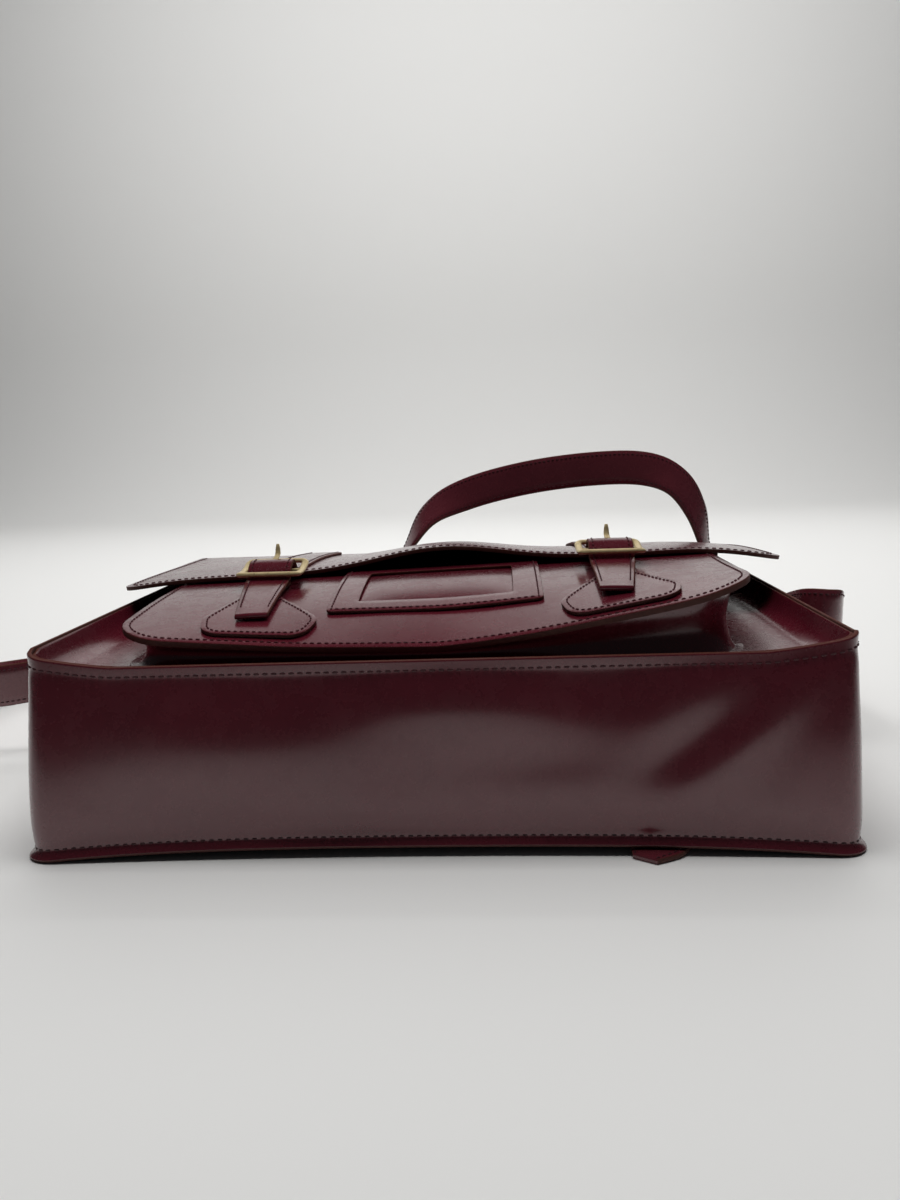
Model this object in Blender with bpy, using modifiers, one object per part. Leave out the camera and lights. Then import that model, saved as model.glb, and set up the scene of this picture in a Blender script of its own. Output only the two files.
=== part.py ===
"""A leather school satchel lying on its back: X to the right, +Y towards its top, +Z up. Metres."""

import math

import bmesh
import bpy
from mathutils import Matrix, Vector

# Driving dimensions
WIDTH = 0.380
HEIGHT = 0.280
DEPTH = 0.096
LEATHER = 0.0022
PLATE = 0.0032
GAP = 0.0003
CELL = 0.012

HALF = WIDTH / 2
BOTTOM_Y = -HEIGHT / 2
TOP_Y = HEIGHT / 2
CORNER = 0.012
SEAM_CLIMB = 0.0065
BELLY_LIFT = 0.0045
RIM_DROP = 0.0009

BACK_Z = 0.0060
FRONT_Z = 0.0825
BACK_FLANGE = 0.0022
FRONT_FLANGE = 0.0045

POCKET_LEFT = -0.155
POCKET_RIGHT = 0.152
POCKET_BOTTOM = -0.127
POCKET_MOUTH = 0.035
POCKET_RAMP = 0.100

FLAP_EDGE_Y = -0.020
FLAP_HALF = 0.194
CREASE_Y = 0.1417
CREASE_Z = 0.1015
SPINE_FOOT_Z = 0.0035

STRAP_WIDTH = 0.0245
STRAP_THICK = 0.0020
PATCH_THICK = 0.0016

BUCKLE_WIDTH = 0.0365
BUCKLE_LENGTH = 0.0300
BUCKLE_METAL = 0.0028
BUCKLE_RAIL = 0.0040
BUCKLE_Y = -0.0370
BUCKLE_ARCH = 0.0025
BAR_WIDTH = 0.0030
PRONG_WIDTH = 0.0032
TAIL_LENGTH = 0.056
TAIL_TAPER = 0.34
TAIL_LEAN = 0.005
# side: (x of the buckle, height of its centre bar, rise from near to far bar, x of the patch's skirt)
BUCKLES = {"left": (-0.0955, 0.1170, 0.0045, -0.0870), "right": (0.0920, 0.1240, 0.0026, 0.0890)}

SHOULDER_WIDTH = 0.026
SHOULDER_THICK = 0.0024
RING_Y = 0.112
RING_Z = 0.048

LEATHER_RED = (0.040, 0.006, 0.011, 1.0)
BRASS_TONE = (0.42, 0.30, 0.12, 1.0)


# Scene and materials
for old in list(bpy.data.objects):
    bpy.data.objects.remove(old, do_unlink=True)


def new_collection(name, hidden=False):
    collection = bpy.data.collections.new(name)
    collection.hide_render = hidden
    bpy.context.scene.collection.children.link(collection)
    return collection


SATCHEL = new_collection("satchel_bag")
CUTTERS = new_collection("cutters", hidden=True)
# Heights below are counted from the floor. This empty puts the frame's origin on the back panel's face.
STAND = bpy.data.objects.new("stand", None)
STAND.location.z = -BACK_Z
SATCHEL.objects.link(STAND)


def finish_material(name, brass):
    material = bpy.data.materials.new(name + "_finish")
    material.use_nodes = True
    shader = material.node_tree.nodes["Principled BSDF"]
    shader.inputs["Base Color"].default_value = BRASS_TONE if brass else LEATHER_RED
    shader.inputs["Roughness"].default_value = 0.35 if brass else 0.28
    shader.inputs["Metallic"].default_value = 1.0 if brass else 0.0
    return material


def add_object(name, bm, origin=(0, 0, 0), brass=False, collection=SATCHEL):
    """Makes an object of a bmesh in world coordinates, with its origin where its joint is."""
    bmesh.ops.translate(bm, verts=bm.verts, vec=-Vector(origin))
    mesh = bpy.data.meshes.new(name)
    bm.to_mesh(mesh)
    bm.free()
    obj = bpy.data.objects.new(name, mesh)
    obj.location = origin
    obj.parent = STAND
    mesh.materials.append(finish_material(name, brass))
    collection.objects.link(obj)
    return obj


def solidify(obj, thickness, offset=-1.0):
    shell = obj.modifiers.new("thickness", "SOLIDIFY")
    shell.thickness = thickness
    shell.offset = offset
    shell.use_even_offset = True
    return obj


# Outlines and surfaces
def rounded(corners, segments=4):
    """Points round a polygon of (x, y, radius) corners, each corner an arc."""
    points = []
    count = len(corners)
    for index, (x, y, radius) in enumerate(corners):
        here = Vector((x, y))
        before = Vector(corners[index - 1][:2]) - here
        after = Vector(corners[(index + 1) % count][:2]) - here
        if radius <= 0:
            points.append(here)
            continue
        half = before.angle(after) / 2
        reach = radius / math.tan(half)
        start = here + before.normalized() * reach
        end = here + after.normalized() * reach
        centre = here + (before.normalized() + after.normalized()).normalized() * (
            radius / math.sin(half)
        )
        first, last = start - centre, end - centre
        turn = first.angle_signed(last)
        for step in range(segments + 1):
            spin = Matrix.Rotation(-turn * step / segments, 2)
            points.append(centre + spin @ first)
    return points


def box_outline(x0, y0, x1, y1, radius):
    return rounded([(x0, y0, radius), (x1, y0, radius), (x1, y1, radius), (x0, y1, radius)])


def grid_lines(low, high, step):
    first = math.ceil(low / step + 1e-6)
    last = math.floor(high / step - 1e-6)
    return [step * index for index in range(first, last + 1)]


def cut_along(bm, axis, values):
    normal = Vector((axis == 0, axis == 1, 0))
    for value in values:
        geometry = bm.verts[:] + bm.edges[:] + bm.faces[:]
        bmesh.ops.bisect_plane(bm, geom=geometry, plane_co=normal * value, plane_no=normal)


def laid_sheet(outline, surface, lift, thickness, windows=(), cell=CELL):
    """A sheet of even thickness that lies on surface(x, y), raised by lift, with windows cut out."""
    bm = bmesh.new()
    bm.faces.new([bm.verts.new((p.x, p.y, 0)) for p in outline])
    xs = [p.x for p in outline]
    ys = [p.y for p in outline]
    cut_along(bm, 0, grid_lines(min(xs), max(xs), cell))
    cut_along(bm, 1, grid_lines(min(ys), max(ys), cell))
    for x0, y0, x1, y1 in windows:
        cut_along(bm, 0, (x0, x1))
        cut_along(bm, 1, (y0, y1))
        inside = [
            face
            for face in bm.faces
            if x0 < face.calc_center_median().x < x1 and y0 < face.calc_center_median().y < y1
        ]
        bmesh.ops.delete(bm, geom=inside, context="FACES")
    bmesh.ops.triangulate(bm, faces=bm.faces)
    for vert in bm.verts:
        vert.co.z = surface(vert.co.x, vert.co.y) + lift
    bmesh.ops.recalc_face_normals(bm, faces=bm.faces)
    if sum(face.normal.z for face in bm.faces) > 0:
        bmesh.ops.reverse_faces(bm, faces=bm.faces)
    raised = bmesh.ops.extrude_face_region(bm, geom=bm.faces[:], use_keep_orig=True)
    moved = [item for item in raised["geom"] if isinstance(item, bmesh.types.BMVert)]
    bmesh.ops.translate(bm, verts=moved, vec=(0, 0, thickness))
    bmesh.ops.recalc_face_normals(bm, faces=bm.faces)
    return bm


def pocket_surface(x, y):
    """The top of the pocket's plate: low at its bottom edge, swelling towards its mouth."""
    if x < 0:
        edge = 0.0925 + 0.0080 * (x / POCKET_LEFT) ** 2
    else:
        edge = 0.0925 + 0.0275 * (x / POCKET_RIGHT) ** 1.1
    swollen = 0.1125 + 0.035 * x
    if y > FLAP_EDGE_Y:
        swollen -= 0.0025 * ((y - FLAP_EDGE_Y) / (POCKET_MOUTH - FLAP_EDGE_Y)) ** 2
    ramp = min(max((y - POCKET_BOTTOM) / POCKET_RAMP, 0.0), 1.0)
    return edge + (swollen - edge) * math.sin(ramp * math.pi / 2)


def flap_surface(x, y):
    """The underside of the closed flap: bulged in the middle, its front corners drooping."""
    edge = 0.1141 + 0.035 * x + 0.010 * math.exp(-((x / 0.036) ** 2) / 2)
    if x < -0.14:
        edge -= 0.0035 * ((x + 0.14) / 0.05) ** 2
    if x > 0.13:
        edge -= 0.0080 * ((x - 0.13) / 0.06) ** 2
    along = min(max((y - FLAP_EDGE_Y) / (CREASE_Y - FLAP_EDGE_Y), 0.0), 1.0)
    return edge + (CREASE_Z - 0.0005 - edge) * along**3


# The strip that makes the bag's two sides and its bottom
def wall_path(inset=0.0, segments=5, top_y=TOP_Y - 0.0008):
    """(x, y, outward normal) round the left side, the bottom and the right side."""
    side = HALF - inset
    floor = BOTTOM_Y + inset
    radius = max(CORNER - inset, 0.004)
    path = []
    runs = 8
    for step in range(runs):
        y = top_y + (floor + radius - top_y) * step / runs
        path.append((-side, y, Vector((-1, 0, 0))))
    for step in range(segments + 1):
        angle = math.pi + math.pi / 2 * step / segments
        normal = Vector((math.cos(angle), math.sin(angle), 0))
        path.append((-side + radius + radius * normal.x, floor + radius + radius * normal.y, normal))
    across = 12
    for step in range(1, across):
        x = -side + radius + 2 * (side - radius) * step / across
        path.append((x, floor, Vector((0, -1, 0))))
    mirrored = [(-x, y, Vector((-n.x, n.y, 0))) for x, y, n in reversed(path[: runs + segments + 1])]
    return path + mirrored


def belly(x, y):
    """How far along the bottom a point is: 0 at the sides, 1 in the middle of the bottom."""
    if y > BOTTOM_Y + CORNER:
        return 0.0
    return 1.0 - (abs(x) / HALF) ** 4


def foot_lift(x, y):
    """The bag stands on its four lower corners: between them its lower edge is clear of the floor."""
    if y > BOTTOM_Y + CORNER:
        return BELLY_LIFT * (1.0 - min(abs(y) / TOP_Y, 1.0) ** 4)
    return BELLY_LIFT * belly(x, y)


def wall_offset(part, middle):
    """How far the strip stands out at a height from 0 to 1: pulled in halfway, its lower lip flared."""
    waist = -0.0045 * math.sin(math.pi * min(part * 1.15, 1.0)) * (1.0 - 0.6 * middle)
    lip = 0.0040 * max(0.0, 1.0 - part / 0.09)
    return waist + lip


def strip_sheet(path, levels):
    """An open sheet with one column of points for each place on the path."""
    bm = bmesh.new()
    columns = [[bm.verts.new(point) for point in levels(x, y, normal)] for x, y, normal in path]
    for left, right in zip(columns, columns[1:]):
        for low in range(len(left) - 1):
            bm.faces.new((left[low], right[low], right[low + 1], left[low + 1]))
    bmesh.ops.recalc_face_normals(bm, faces=bm.faces)
    return bm


def gusset_levels(x, y, normal):
    middle = belly(x, y)
    low = foot_lift(x, y) + RIM_DROP
    high = DEPTH - SEAM_CLIMB * (1.0 if middle else 0.0) * min(1.0, middle * 1.6)
    points = []
    for part in (0.0, 0.09, 0.3, 0.5, 0.7, 0.9, 1.0):
        place = Vector((x, y, low + (high - low) * part)) + normal * wall_offset(part, middle)
        points.append(place)
    return points


def point_outwards(bm, path):
    """Turns an open strip so that its faces look away from the bag."""
    face = bm.faces[:][0]
    if face.normal.dot(path[0][2]) < 0:
        bmesh.ops.reverse_faces(bm, faces=bm.faces)


def build_gusset():
    path = wall_path()
    bm = strip_sheet(path, gusset_levels)
    point_outwards(bm, path)
    solidify(add_object("gusset", bm), LEATHER)


def tray_sheet(inset, plate_z, flange_z, top_y):
    """A panel with its two sides and its bottom edge turned to a flange, open along the top."""
    path = wall_path(inset=inset, top_y=top_y)
    bm = bmesh.new()
    rim = [bm.verts.new((x, y, plate_z)) for x, y, _ in path]
    plate = bm.faces.new(rim)
    edges = [bm.edges.get((a, b)) for a, b in zip(rim, rim[1:])]
    turned = bmesh.ops.extrude_edge_only(bm, edges=edges)
    moved = [item for item in turned["geom"] if isinstance(item, bmesh.types.BMVert)]
    for vert in moved:
        vert.co.z = flange_z(vert.co.x, vert.co.y)
    bmesh.ops.triangulate(bm, faces=[plate])
    bmesh.ops.recalc_face_normals(bm, faces=bm.faces)
    return bm


def facing(bm, up):
    """Turns an open sheet so that its level faces look up or down."""
    total = sum(face.normal.z * face.calc_area() for face in bm.faces)
    if (total > 0) != up:
        bmesh.ops.reverse_faces(bm, faces=bm.faces)
    return bm


def build_panels():
    seam = LEATHER + GAP + 0.0062
    back = tray_sheet(seam, BACK_Z, lambda x, y: BACK_Z - BACK_FLANGE, TOP_Y - 0.0005)
    solidify(add_object("back_panel", facing(back, up=False)), LEATHER)
    front = tray_sheet(seam, FRONT_Z, lambda x, y: FRONT_Z + FRONT_FLANGE, TOP_Y - 0.006)
    solidify(add_object("front_panel", facing(front, up=True)), LEATHER)


# The front pocket
def build_pocket():
    outline = rounded(
        [
            (POCKET_LEFT, POCKET_MOUTH, 0),
            (POCKET_LEFT, POCKET_BOTTOM, 0.026),
            (POCKET_RIGHT, POCKET_BOTTOM, 0.036),
            (POCKET_RIGHT, POCKET_MOUTH, 0),
        ]
    )
    add_object("pocket_front", laid_sheet(outline, pocket_surface, -PLATE, PLATE))
    inset = 0.008
    wall = 0.0016
    base = FRONT_Z + LEATHER + GAP
    left, right, low = POCKET_LEFT + inset, POCKET_RIGHT - inset, POCKET_BOTTOM + inset
    corners = rounded(
        [(left, POCKET_MOUTH - 0.004, 0), (left, low, 0.020), (right, low, 0.028), (right, POCKET_MOUTH - 0.004, 0)]
    )
    points = []
    for start, end in zip(corners, corners[1:]):
        pieces = max(1, round((end - start).length / CELL))
        points += [start.lerp(end, step / pieces) for step in range(pieces)]
    points.append(corners[-1])
    path = []
    for index, point in enumerate(points):
        along = points[min(index + 1, len(points) - 1)] - points[max(index - 1, 0)]
        path.append((point.x, point.y, Vector((along.y, -along.x, 0)).normalized()))
    if path[0][2].x > 0:
        path = [(x, y, -normal) for x, y, normal in path]

    def levels(x, y, normal):
        foot = Vector((x, y, base))
        lowest = min(
            pocket_surface(x + normal.x * wall * side, y + normal.y * wall * side) for side in (-1, 0, 1)
        )
        roof = lowest - PLATE - 4 * GAP
        return [foot + normal * 0.005, foot, Vector((x, y, roof))]

    bm = strip_sheet(path, levels)
    total = sum(face.normal.z for face in bm.faces)
    if total < 0:
        bmesh.ops.reverse_faces(bm, faces=bm.faces)
    solidify(add_object("pocket_gusset", bm), wall, offset=1.0)

    frame = box_outline(-0.056, -0.094, 0.053, -0.018, 0.003)
    window = (-0.041, -0.082, 0.038, -0.029)
    bm = laid_sheet(frame, pocket_surface, 2 * GAP, PATCH_THICK, windows=[window])
    add_object("name_window_frame", bm)


# The closures: patch, chape, buckle, prong, strap
def bell_outline(x, skirt, top):
    """A bell-shaped patch: a narrow neck at the buckle and a wide round skirt below."""
    half, neck = 0.0290, 0.0105
    return rounded(
        [
            (x - neck, top, 0),
            (x - neck, top - 0.030, 0.020),
            (skirt - half, -0.102, 0.010),
            (skirt - half + 0.004, -0.1205, 0.011),
            (skirt + half - 0.004, -0.1205, 0.011),
            (skirt + half, -0.102, 0.010),
            (x + neck, top - 0.030, 0.020),
            (x + neck, top, 0),
        ]
    )


def side_profile(name, outline, x, width, origin, brass=False):
    """A piece of even width along X whose side view is an outline of (y, z) points."""
    bm = bmesh.new()
    face = bm.faces.new([bm.verts.new((x - width / 2, y, z)) for y, z in outline])
    raised = bmesh.ops.extrude_face_region(bm, geom=[face], use_keep_orig=True)
    moved = [item for item in raised["geom"] if isinstance(item, bmesh.types.BMVert)]
    bmesh.ops.translate(bm, verts=moved, vec=(width, 0, 0))
    bmesh.ops.recalc_face_normals(bm, faces=bm.faces)
    return add_object(name, bm, origin=origin, brass=brass)


def band_outline(middle, thickness):
    """The (y, z) outline of a bent band of even thickness along a middle line."""
    upper, lower = [], []
    for index, point in enumerate(middle):
        along = middle[min(index + 1, len(middle) - 1)] - middle[max(index - 1, 0)]
        across = Vector((-along.y, along.x)).normalized() * thickness / 2
        upper.append(point + across)
        lower.append(point - across)
    return [tuple(p) for p in upper + lower[::-1]]


def arc_line(centre, radius, start, end, steps):
    """Points on an arc in the side view, angles in degrees from +Y towards +Z."""
    points = []
    for step in range(steps + 1):
        angle = math.radians(start + (end - start) * step / steps)
        points.append(Vector((centre.x + radius * math.cos(angle), centre.y + radius * math.sin(angle))))
    return points


def build_closure(side):
    x, bar_z, rise, skirt = BUCKLES[side]
    bar = Vector((BUCKLE_Y, bar_z))
    origin = (x, BUCKLE_Y, bar_z)
    patch = laid_sheet(bell_outline(x, skirt, BUCKLE_Y - 0.004), pocket_surface, 2 * GAP, PATCH_THICK)
    add_object(side + "_buckle_patch", patch)

    half_length = BUCKLE_LENGTH / 2
    half_width = BUCKLE_WIDTH / 2

    def frame_surface(_, y):
        along = (y - BUCKLE_Y) / half_length
        return bar_z - BUCKLE_METAL / 2 + rise * along / 2 + BUCKLE_ARCH * along**2

    outline = box_outline(
        x - half_width, BUCKLE_Y - half_length, x + half_width, BUCKLE_Y + half_length, 0.004
    )
    inner = half_width - BUCKLE_RAIL
    near = (x - inner, BUCKLE_Y - half_length + BUCKLE_RAIL, x + inner, BUCKLE_Y - BAR_WIDTH / 2)
    far = (x - inner, BUCKLE_Y + BAR_WIDTH / 2, x + inner, BUCKLE_Y + half_length - BUCKLE_RAIL)
    bm = laid_sheet(outline, frame_surface, 0.0, BUCKLE_METAL, windows=[near, far], cell=0.005)
    add_object(side + "_buckle_frame", bm, origin=origin, brass=True)

    # The prong: an open eye round the bar, then a pin that rests on the far bar and stands past it.
    eye = 0.0034
    far_top = frame_surface(0, BUCKLE_Y + half_length - 0.002) + BUCKLE_METAL + GAP + 0.0012
    pin = arc_line(bar, eye, -150, 65, 9)
    pin.append(Vector((BUCKLE_Y + 0.0065, bar_z + 0.0056)))
    pin.append(Vector((BUCKLE_Y + half_length - 0.0045, far_top)))
    pin.append(Vector((BUCKLE_Y + half_length - 0.0015, far_top + 0.0014)))
    pin.append(Vector((BUCKLE_Y + half_length - 0.0003, far_top + 0.0070)))
    side_profile(side + "_prong", band_outline(pin, 0.0020), x, PRONG_WIDTH, origin, brass=True)

    # The chape: a folded band round the bar, slotted for the prong, its ends sewn to the patch's neck.
    hold = 0.0029
    foot_y = BUCKLE_Y - 0.0082
    foot_z = pocket_surface(x, foot_y) + 2 * GAP + PATCH_THICK + 0.0014
    fold = [Vector((foot_y, foot_z))]
    fold += arc_line(bar, hold, 240, 500, 12)
    fold.append(bar + Vector((-0.0055, -0.0012)))
    fold.append(Vector((foot_y + 0.0002, foot_z + 0.0017)))
    chape = side_profile(side + "_chape", band_outline(fold, 0.0013), x, 0.018, (x, BUCKLE_Y, bar_z))
    cutter = bmesh.new()
    bmesh.ops.create_cube(cutter, size=1.0)
    bmesh.ops.scale(cutter, verts=cutter.verts, vec=(PRONG_WIDTH + 0.0018, 0.0135, 0.014))
    bmesh.ops.translate(cutter, verts=cutter.verts, vec=(x, BUCKLE_Y + 0.0010, bar_z))
    slot = add_object(side + "_slot_cutter", cutter, collection=CUTTERS)
    slot.hide_render = True
    slot.display_type = "WIRE"
    cut = chape.modifiers.new("slot", "BOOLEAN")
    cut.object = slot
    cut.operation = "DIFFERENCE"

    # The strap's sewn length on the flap, and its free tail through the buckle.
    half = STRAP_WIDTH / 2
    sewn = rounded(
        [
            (x - half, FLAP_EDGE_Y + 0.0006, 0),
            (x + half, FLAP_EDGE_Y + 0.0006, 0),
            (x + half, 0.118, 0.006),
            (x - half, 0.118, 0.006),
        ]
    )
    strap = laid_sheet(sewn, flap_surface, LEATHER + GAP, STRAP_THICK)
    add_object(side + "_closure_strap", strap, origin=(0, CREASE_Y, CREASE_Z))
    on_flap = flap_surface(x, FLAP_EDGE_Y) + LEATHER + GAP + STRAP_THICK / 2
    near_y = BUCKLE_Y - half_length + BUCKLE_RAIL / 2
    near_z = bar_z - 0.0040
    weave = [(0.0125, -0.0014), (0.0095, -0.0008), (0.0060, 0.0022), (0.0030, 0.0049)]
    weave += [(-0.0010, 0.0050), (-0.0052, 0.0034), (-0.0090, 0.0000), (-0.0108, -0.0034)]
    line = [Vector((FLAP_EDGE_Y - GAP / 2, on_flap))]
    line += [bar + Vector(place) for place in weave]
    line.append(Vector((near_y, near_z)))
    for step in range(1, 5):
        y = near_y - TAIL_LENGTH * step / 4
        rest = pocket_surface(x, y) + 2 * GAP + PATCH_THICK + STRAP_THICK / 2
        line.append(Vector((y, max(rest + 0.0012, near_z - 0.0030 - 0.0024 * step))))
    bm = bmesh.new()
    bm.faces.new([bm.verts.new((x - half, y, z)) for y, z in band_outline(line, STRAP_THICK)])
    raised = bmesh.ops.extrude_face_region(bm, geom=bm.faces[:], use_keep_orig=True)
    moved = [item for item in raised["geom"] if isinstance(item, bmesh.types.BMVert)]
    bmesh.ops.translate(bm, verts=moved, vec=(STRAP_WIDTH, 0, 0))
    bmesh.ops.recalc_face_normals(bm, faces=bm.faces)
    for vert in bm.verts:
        share = min(max((near_y - vert.co.y) / TAIL_LENGTH, 0.0), 1.0)
        lean = math.copysign(TAIL_LEAN * share, -x)
        vert.co.x = x + lean + (vert.co.x - x) * (1.0 - TAIL_TAPER * share)
    tail = add_object(side + "_strap_tail", bm, origin=(0, CREASE_Y, CREASE_Z))
    hole = bmesh.new()
    bmesh.ops.create_cube(hole, size=1.0)
    bmesh.ops.scale(hole, verts=hole.verts, vec=(PRONG_WIDTH + 0.0012, 0.0105, 0.020))
    bmesh.ops.translate(hole, verts=hole.verts, vec=(x, BUCKLE_Y + 0.0050, bar_z + 0.006))
    punch = add_object(side + "_hole_cutter", hole, collection=CUTTERS)
    punch.hide_render = True
    punch.display_type = "WIRE"
    punched = tail.modifiers.new("hole", "BOOLEAN")
    punched.object = punch
    punched.operation = "DIFFERENCE"


# The flap: a spine across the top of the bag, and a front that folds down over the pocket
def build_flap():
    spine = bmesh.new()
    bmesh.ops.create_cube(spine, size=1.0)
    low, high = SPINE_FOOT_Z + 0.0018, CREASE_Z - 0.0026
    bmesh.ops.scale(spine, verts=spine.verts, vec=(WIDTH - 0.002, LEATHER, high - low))
    bmesh.ops.translate(spine, verts=spine.verts, vec=(0, CREASE_Y, (low + high) / 2))
    obj = add_object("flap_spine", spine, origin=(0, CREASE_Y, SPINE_FOOT_Z))
    obj.modifiers.new("edges", "BEVEL").width = 0.0006
    outline = rounded(
        [
            (-FLAP_HALF, FLAP_EDGE_Y, 0.018),
            (FLAP_HALF, FLAP_EDGE_Y, 0.018),
            (FLAP_HALF, CREASE_Y - 0.0022, 0),
            (-FLAP_HALF, CREASE_Y - 0.0022, 0),
        ]
    )
    front = laid_sheet(outline, flap_surface, 0.0, LEATHER)
    add_object("flap_front", front, origin=(0, CREASE_Y, CREASE_Z))


# Strap hardware at the two sides, and the shoulder strap
def smooth_route(points, pieces):
    """Points along a smooth curve through the given ones, pieces to each stretch."""
    route = []
    for index in range(len(points) - 1):
        p0 = points[max(index - 1, 0)]
        p1, p2 = points[index], points[index + 1]
        p3 = points[min(index + 2, len(points) - 1)]
        for step in range(pieces):
            t = step / pieces
            route.append(
                0.5
                * (
                    2 * p1
                    + (p2 - p0) * t
                    + (2 * p0 - 5 * p1 + 4 * p2 - p3) * t**2
                    + (3 * p1 - p0 - 3 * p2 + p3) * t**3
                )
            )
    route.append(points[-1])
    return route


def ribbon(name, stations, width, thickness, pieces=3, point=0.0):
    """A flat strap through stations of (place, direction of its width), with a blunt point at its end."""
    places = smooth_route([Vector(place) for place, _ in stations], pieces)
    widths = smooth_route([Vector(across) for _, across in stations], pieces)
    bm = bmesh.new()
    loops = []
    last = len(places) - 1
    for index, place in enumerate(places):
        along = (places[min(index + 1, last)] - places[max(index - 1, 0)]).normalized()
        across = widths[index]
        across = (across - along * across.dot(along)).normalized()
        normal = along.cross(across)
        half = width / 2 * (1.0 - point if index == last else 1.0)
        corners = [(-half, -1), (half, -1), (half, 1), (-half, 1)]
        loops.append([bm.verts.new(place + across * w + normal * s * thickness / 2) for w, s in corners])
    for here, there in zip(loops, loops[1:]):
        for side in range(4):
            bm.faces.new((here[side], here[(side + 1) % 4], there[(side + 1) % 4], there[side]))
    bm.faces.new(loops[0][::-1])
    bm.faces.new(loops[-1])
    bmesh.ops.recalc_face_normals(bm, faces=bm.faces)
    return add_object(name, bm)


UPRIGHT = (0, 0, 1)
SHOULDER_BUCKLE = (0.2345, 0.1442, 0.0400)
BUCKLE_ALONG = (0.28, -0.96, 0.0)
KEEPER = (0.2402, 0.1080, 0.0400)
# The long piece: left ring, out to the left, behind the bag, up in an arch, down at the right.
LONG_ROUTE = [
    ((-0.2105, 0.0880, 0.048), UPRIGHT),
    ((-0.2200, 0.0500, 0.049), UPRIGHT),
    ((-0.2380, 0.0150, 0.048), (0.05, 0, 1)),
    ((-0.2750, -0.0050, 0.045), (0.05, 0, 1)),
    ((-0.3150, 0.0100, 0.039), (0.05, 0, 1)),
    ((-0.3400, 0.0550, 0.029), (0.1, 0.1, 1)),
    ((-0.3300, 0.1150, 0.020), (0, 0.1, 1)),
    ((-0.2850, 0.1650, 0.016), (0, 0.1, 1)),
    ((-0.2150, 0.1950, 0.017), (0, 0.2, 1)),
    ((-0.1450, 0.2080, 0.026), (-0.2, 0.5, 0.9)),
    ((-0.0850, 0.2100, 0.052), (-0.3, 1.0, 0.3)),
    ((-0.0500, 0.2050, 0.090), (-0.2, 1.0, 0.0)),
    ((-0.0250, 0.1980, 0.126), (-0.5, 0.8, 0.35)),
    ((0.0080, 0.1900, 0.143), (-0.4, 0.35, 0.85)),
    ((0.0550, 0.1830, 0.1545), (-0.2, 0.15, 1)),
    ((0.1050, 0.1780, 0.1600), (-0.05, 0.1, 1)),
    ((0.1450, 0.1750, 0.1590), (0.25, 0.15, 1)),
    ((0.1700, 0.1760, 0.1480), (0.8, 0.5, 0.5)),
    ((0.1860, 0.1800, 0.1250), (0.7, 0.7, 0.2)),
    ((0.1950, 0.1850, 0.0950), (0.4, 0.9, 0.1)),
    ((0.2040, 0.1880, 0.0660), (0.2, 0.8, 0.5)),
    ((0.2150, 0.1800, 0.0450), (0, 0.3, 1)),
    ((0.2290, 0.1610, 0.0400), UPRIGHT),
]
# The tail of the long piece, past the strap's buckle, down to the floor and under the bag.
TAIL_ROUTE = [
    ((0.2442, 0.1270, 0.0398), UPRIGHT),
    ((0.2468, 0.1000, 0.0380), UPRIGHT),
    ((0.2480, 0.0730, 0.0270), (-0.15, 0.1, 1)),
    ((0.2380, 0.0480, 0.0160), (-0.6, 0.4, 0.7)),
    ((0.2120, 0.0240, 0.0042), (-0.75, 0.66, 0.15)),
    ((0.1880, -0.0060, 0.0016), (-0.75, 0.66, 0)),
    ((0.1620, -0.0500, 0.0016), (-0.8, 0.6, 0)),
    ((0.1350, -0.0950, 0.0016), (-0.8, 0.6, 0)),
    ((0.1100, -0.1320, 0.0016), (-0.8, 0.6, 0)),
    ((0.0970, -0.1510, 0.0016), (-0.8, 0.6, 0)),
    ((0.0925, -0.1580, 0.0016), (-0.8, 0.6, 0)),
]
# The short piece: right ring, forward beside the bag, round a loop, back to the strap's buckle.
SHORT_ROUTE = [
    ((0.2045, 0.0870, 0.052), UPRIGHT),
    ((0.2070, 0.0600, 0.060), (0.05, 0, 1)),
    ((0.2080, 0.0280, 0.072), (0.1, 0, 1)),
    ((0.2120, 0.0050, 0.079), (0.1, 0, 1)),
    ((0.2220, -0.0040, 0.080), (0.1, 0.1, 1)),
    ((0.2340, 0.0060, 0.077), (0.05, 0.1, 1)),
    ((0.2400, 0.0350, 0.066), UPRIGHT),
    ((0.2410, 0.0700, 0.052), UPRIGHT),
    ((0.2405, 0.1000, 0.041), UPRIGHT),
    ((0.2385, 0.1275, 0.040), UPRIGHT),
]


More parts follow.
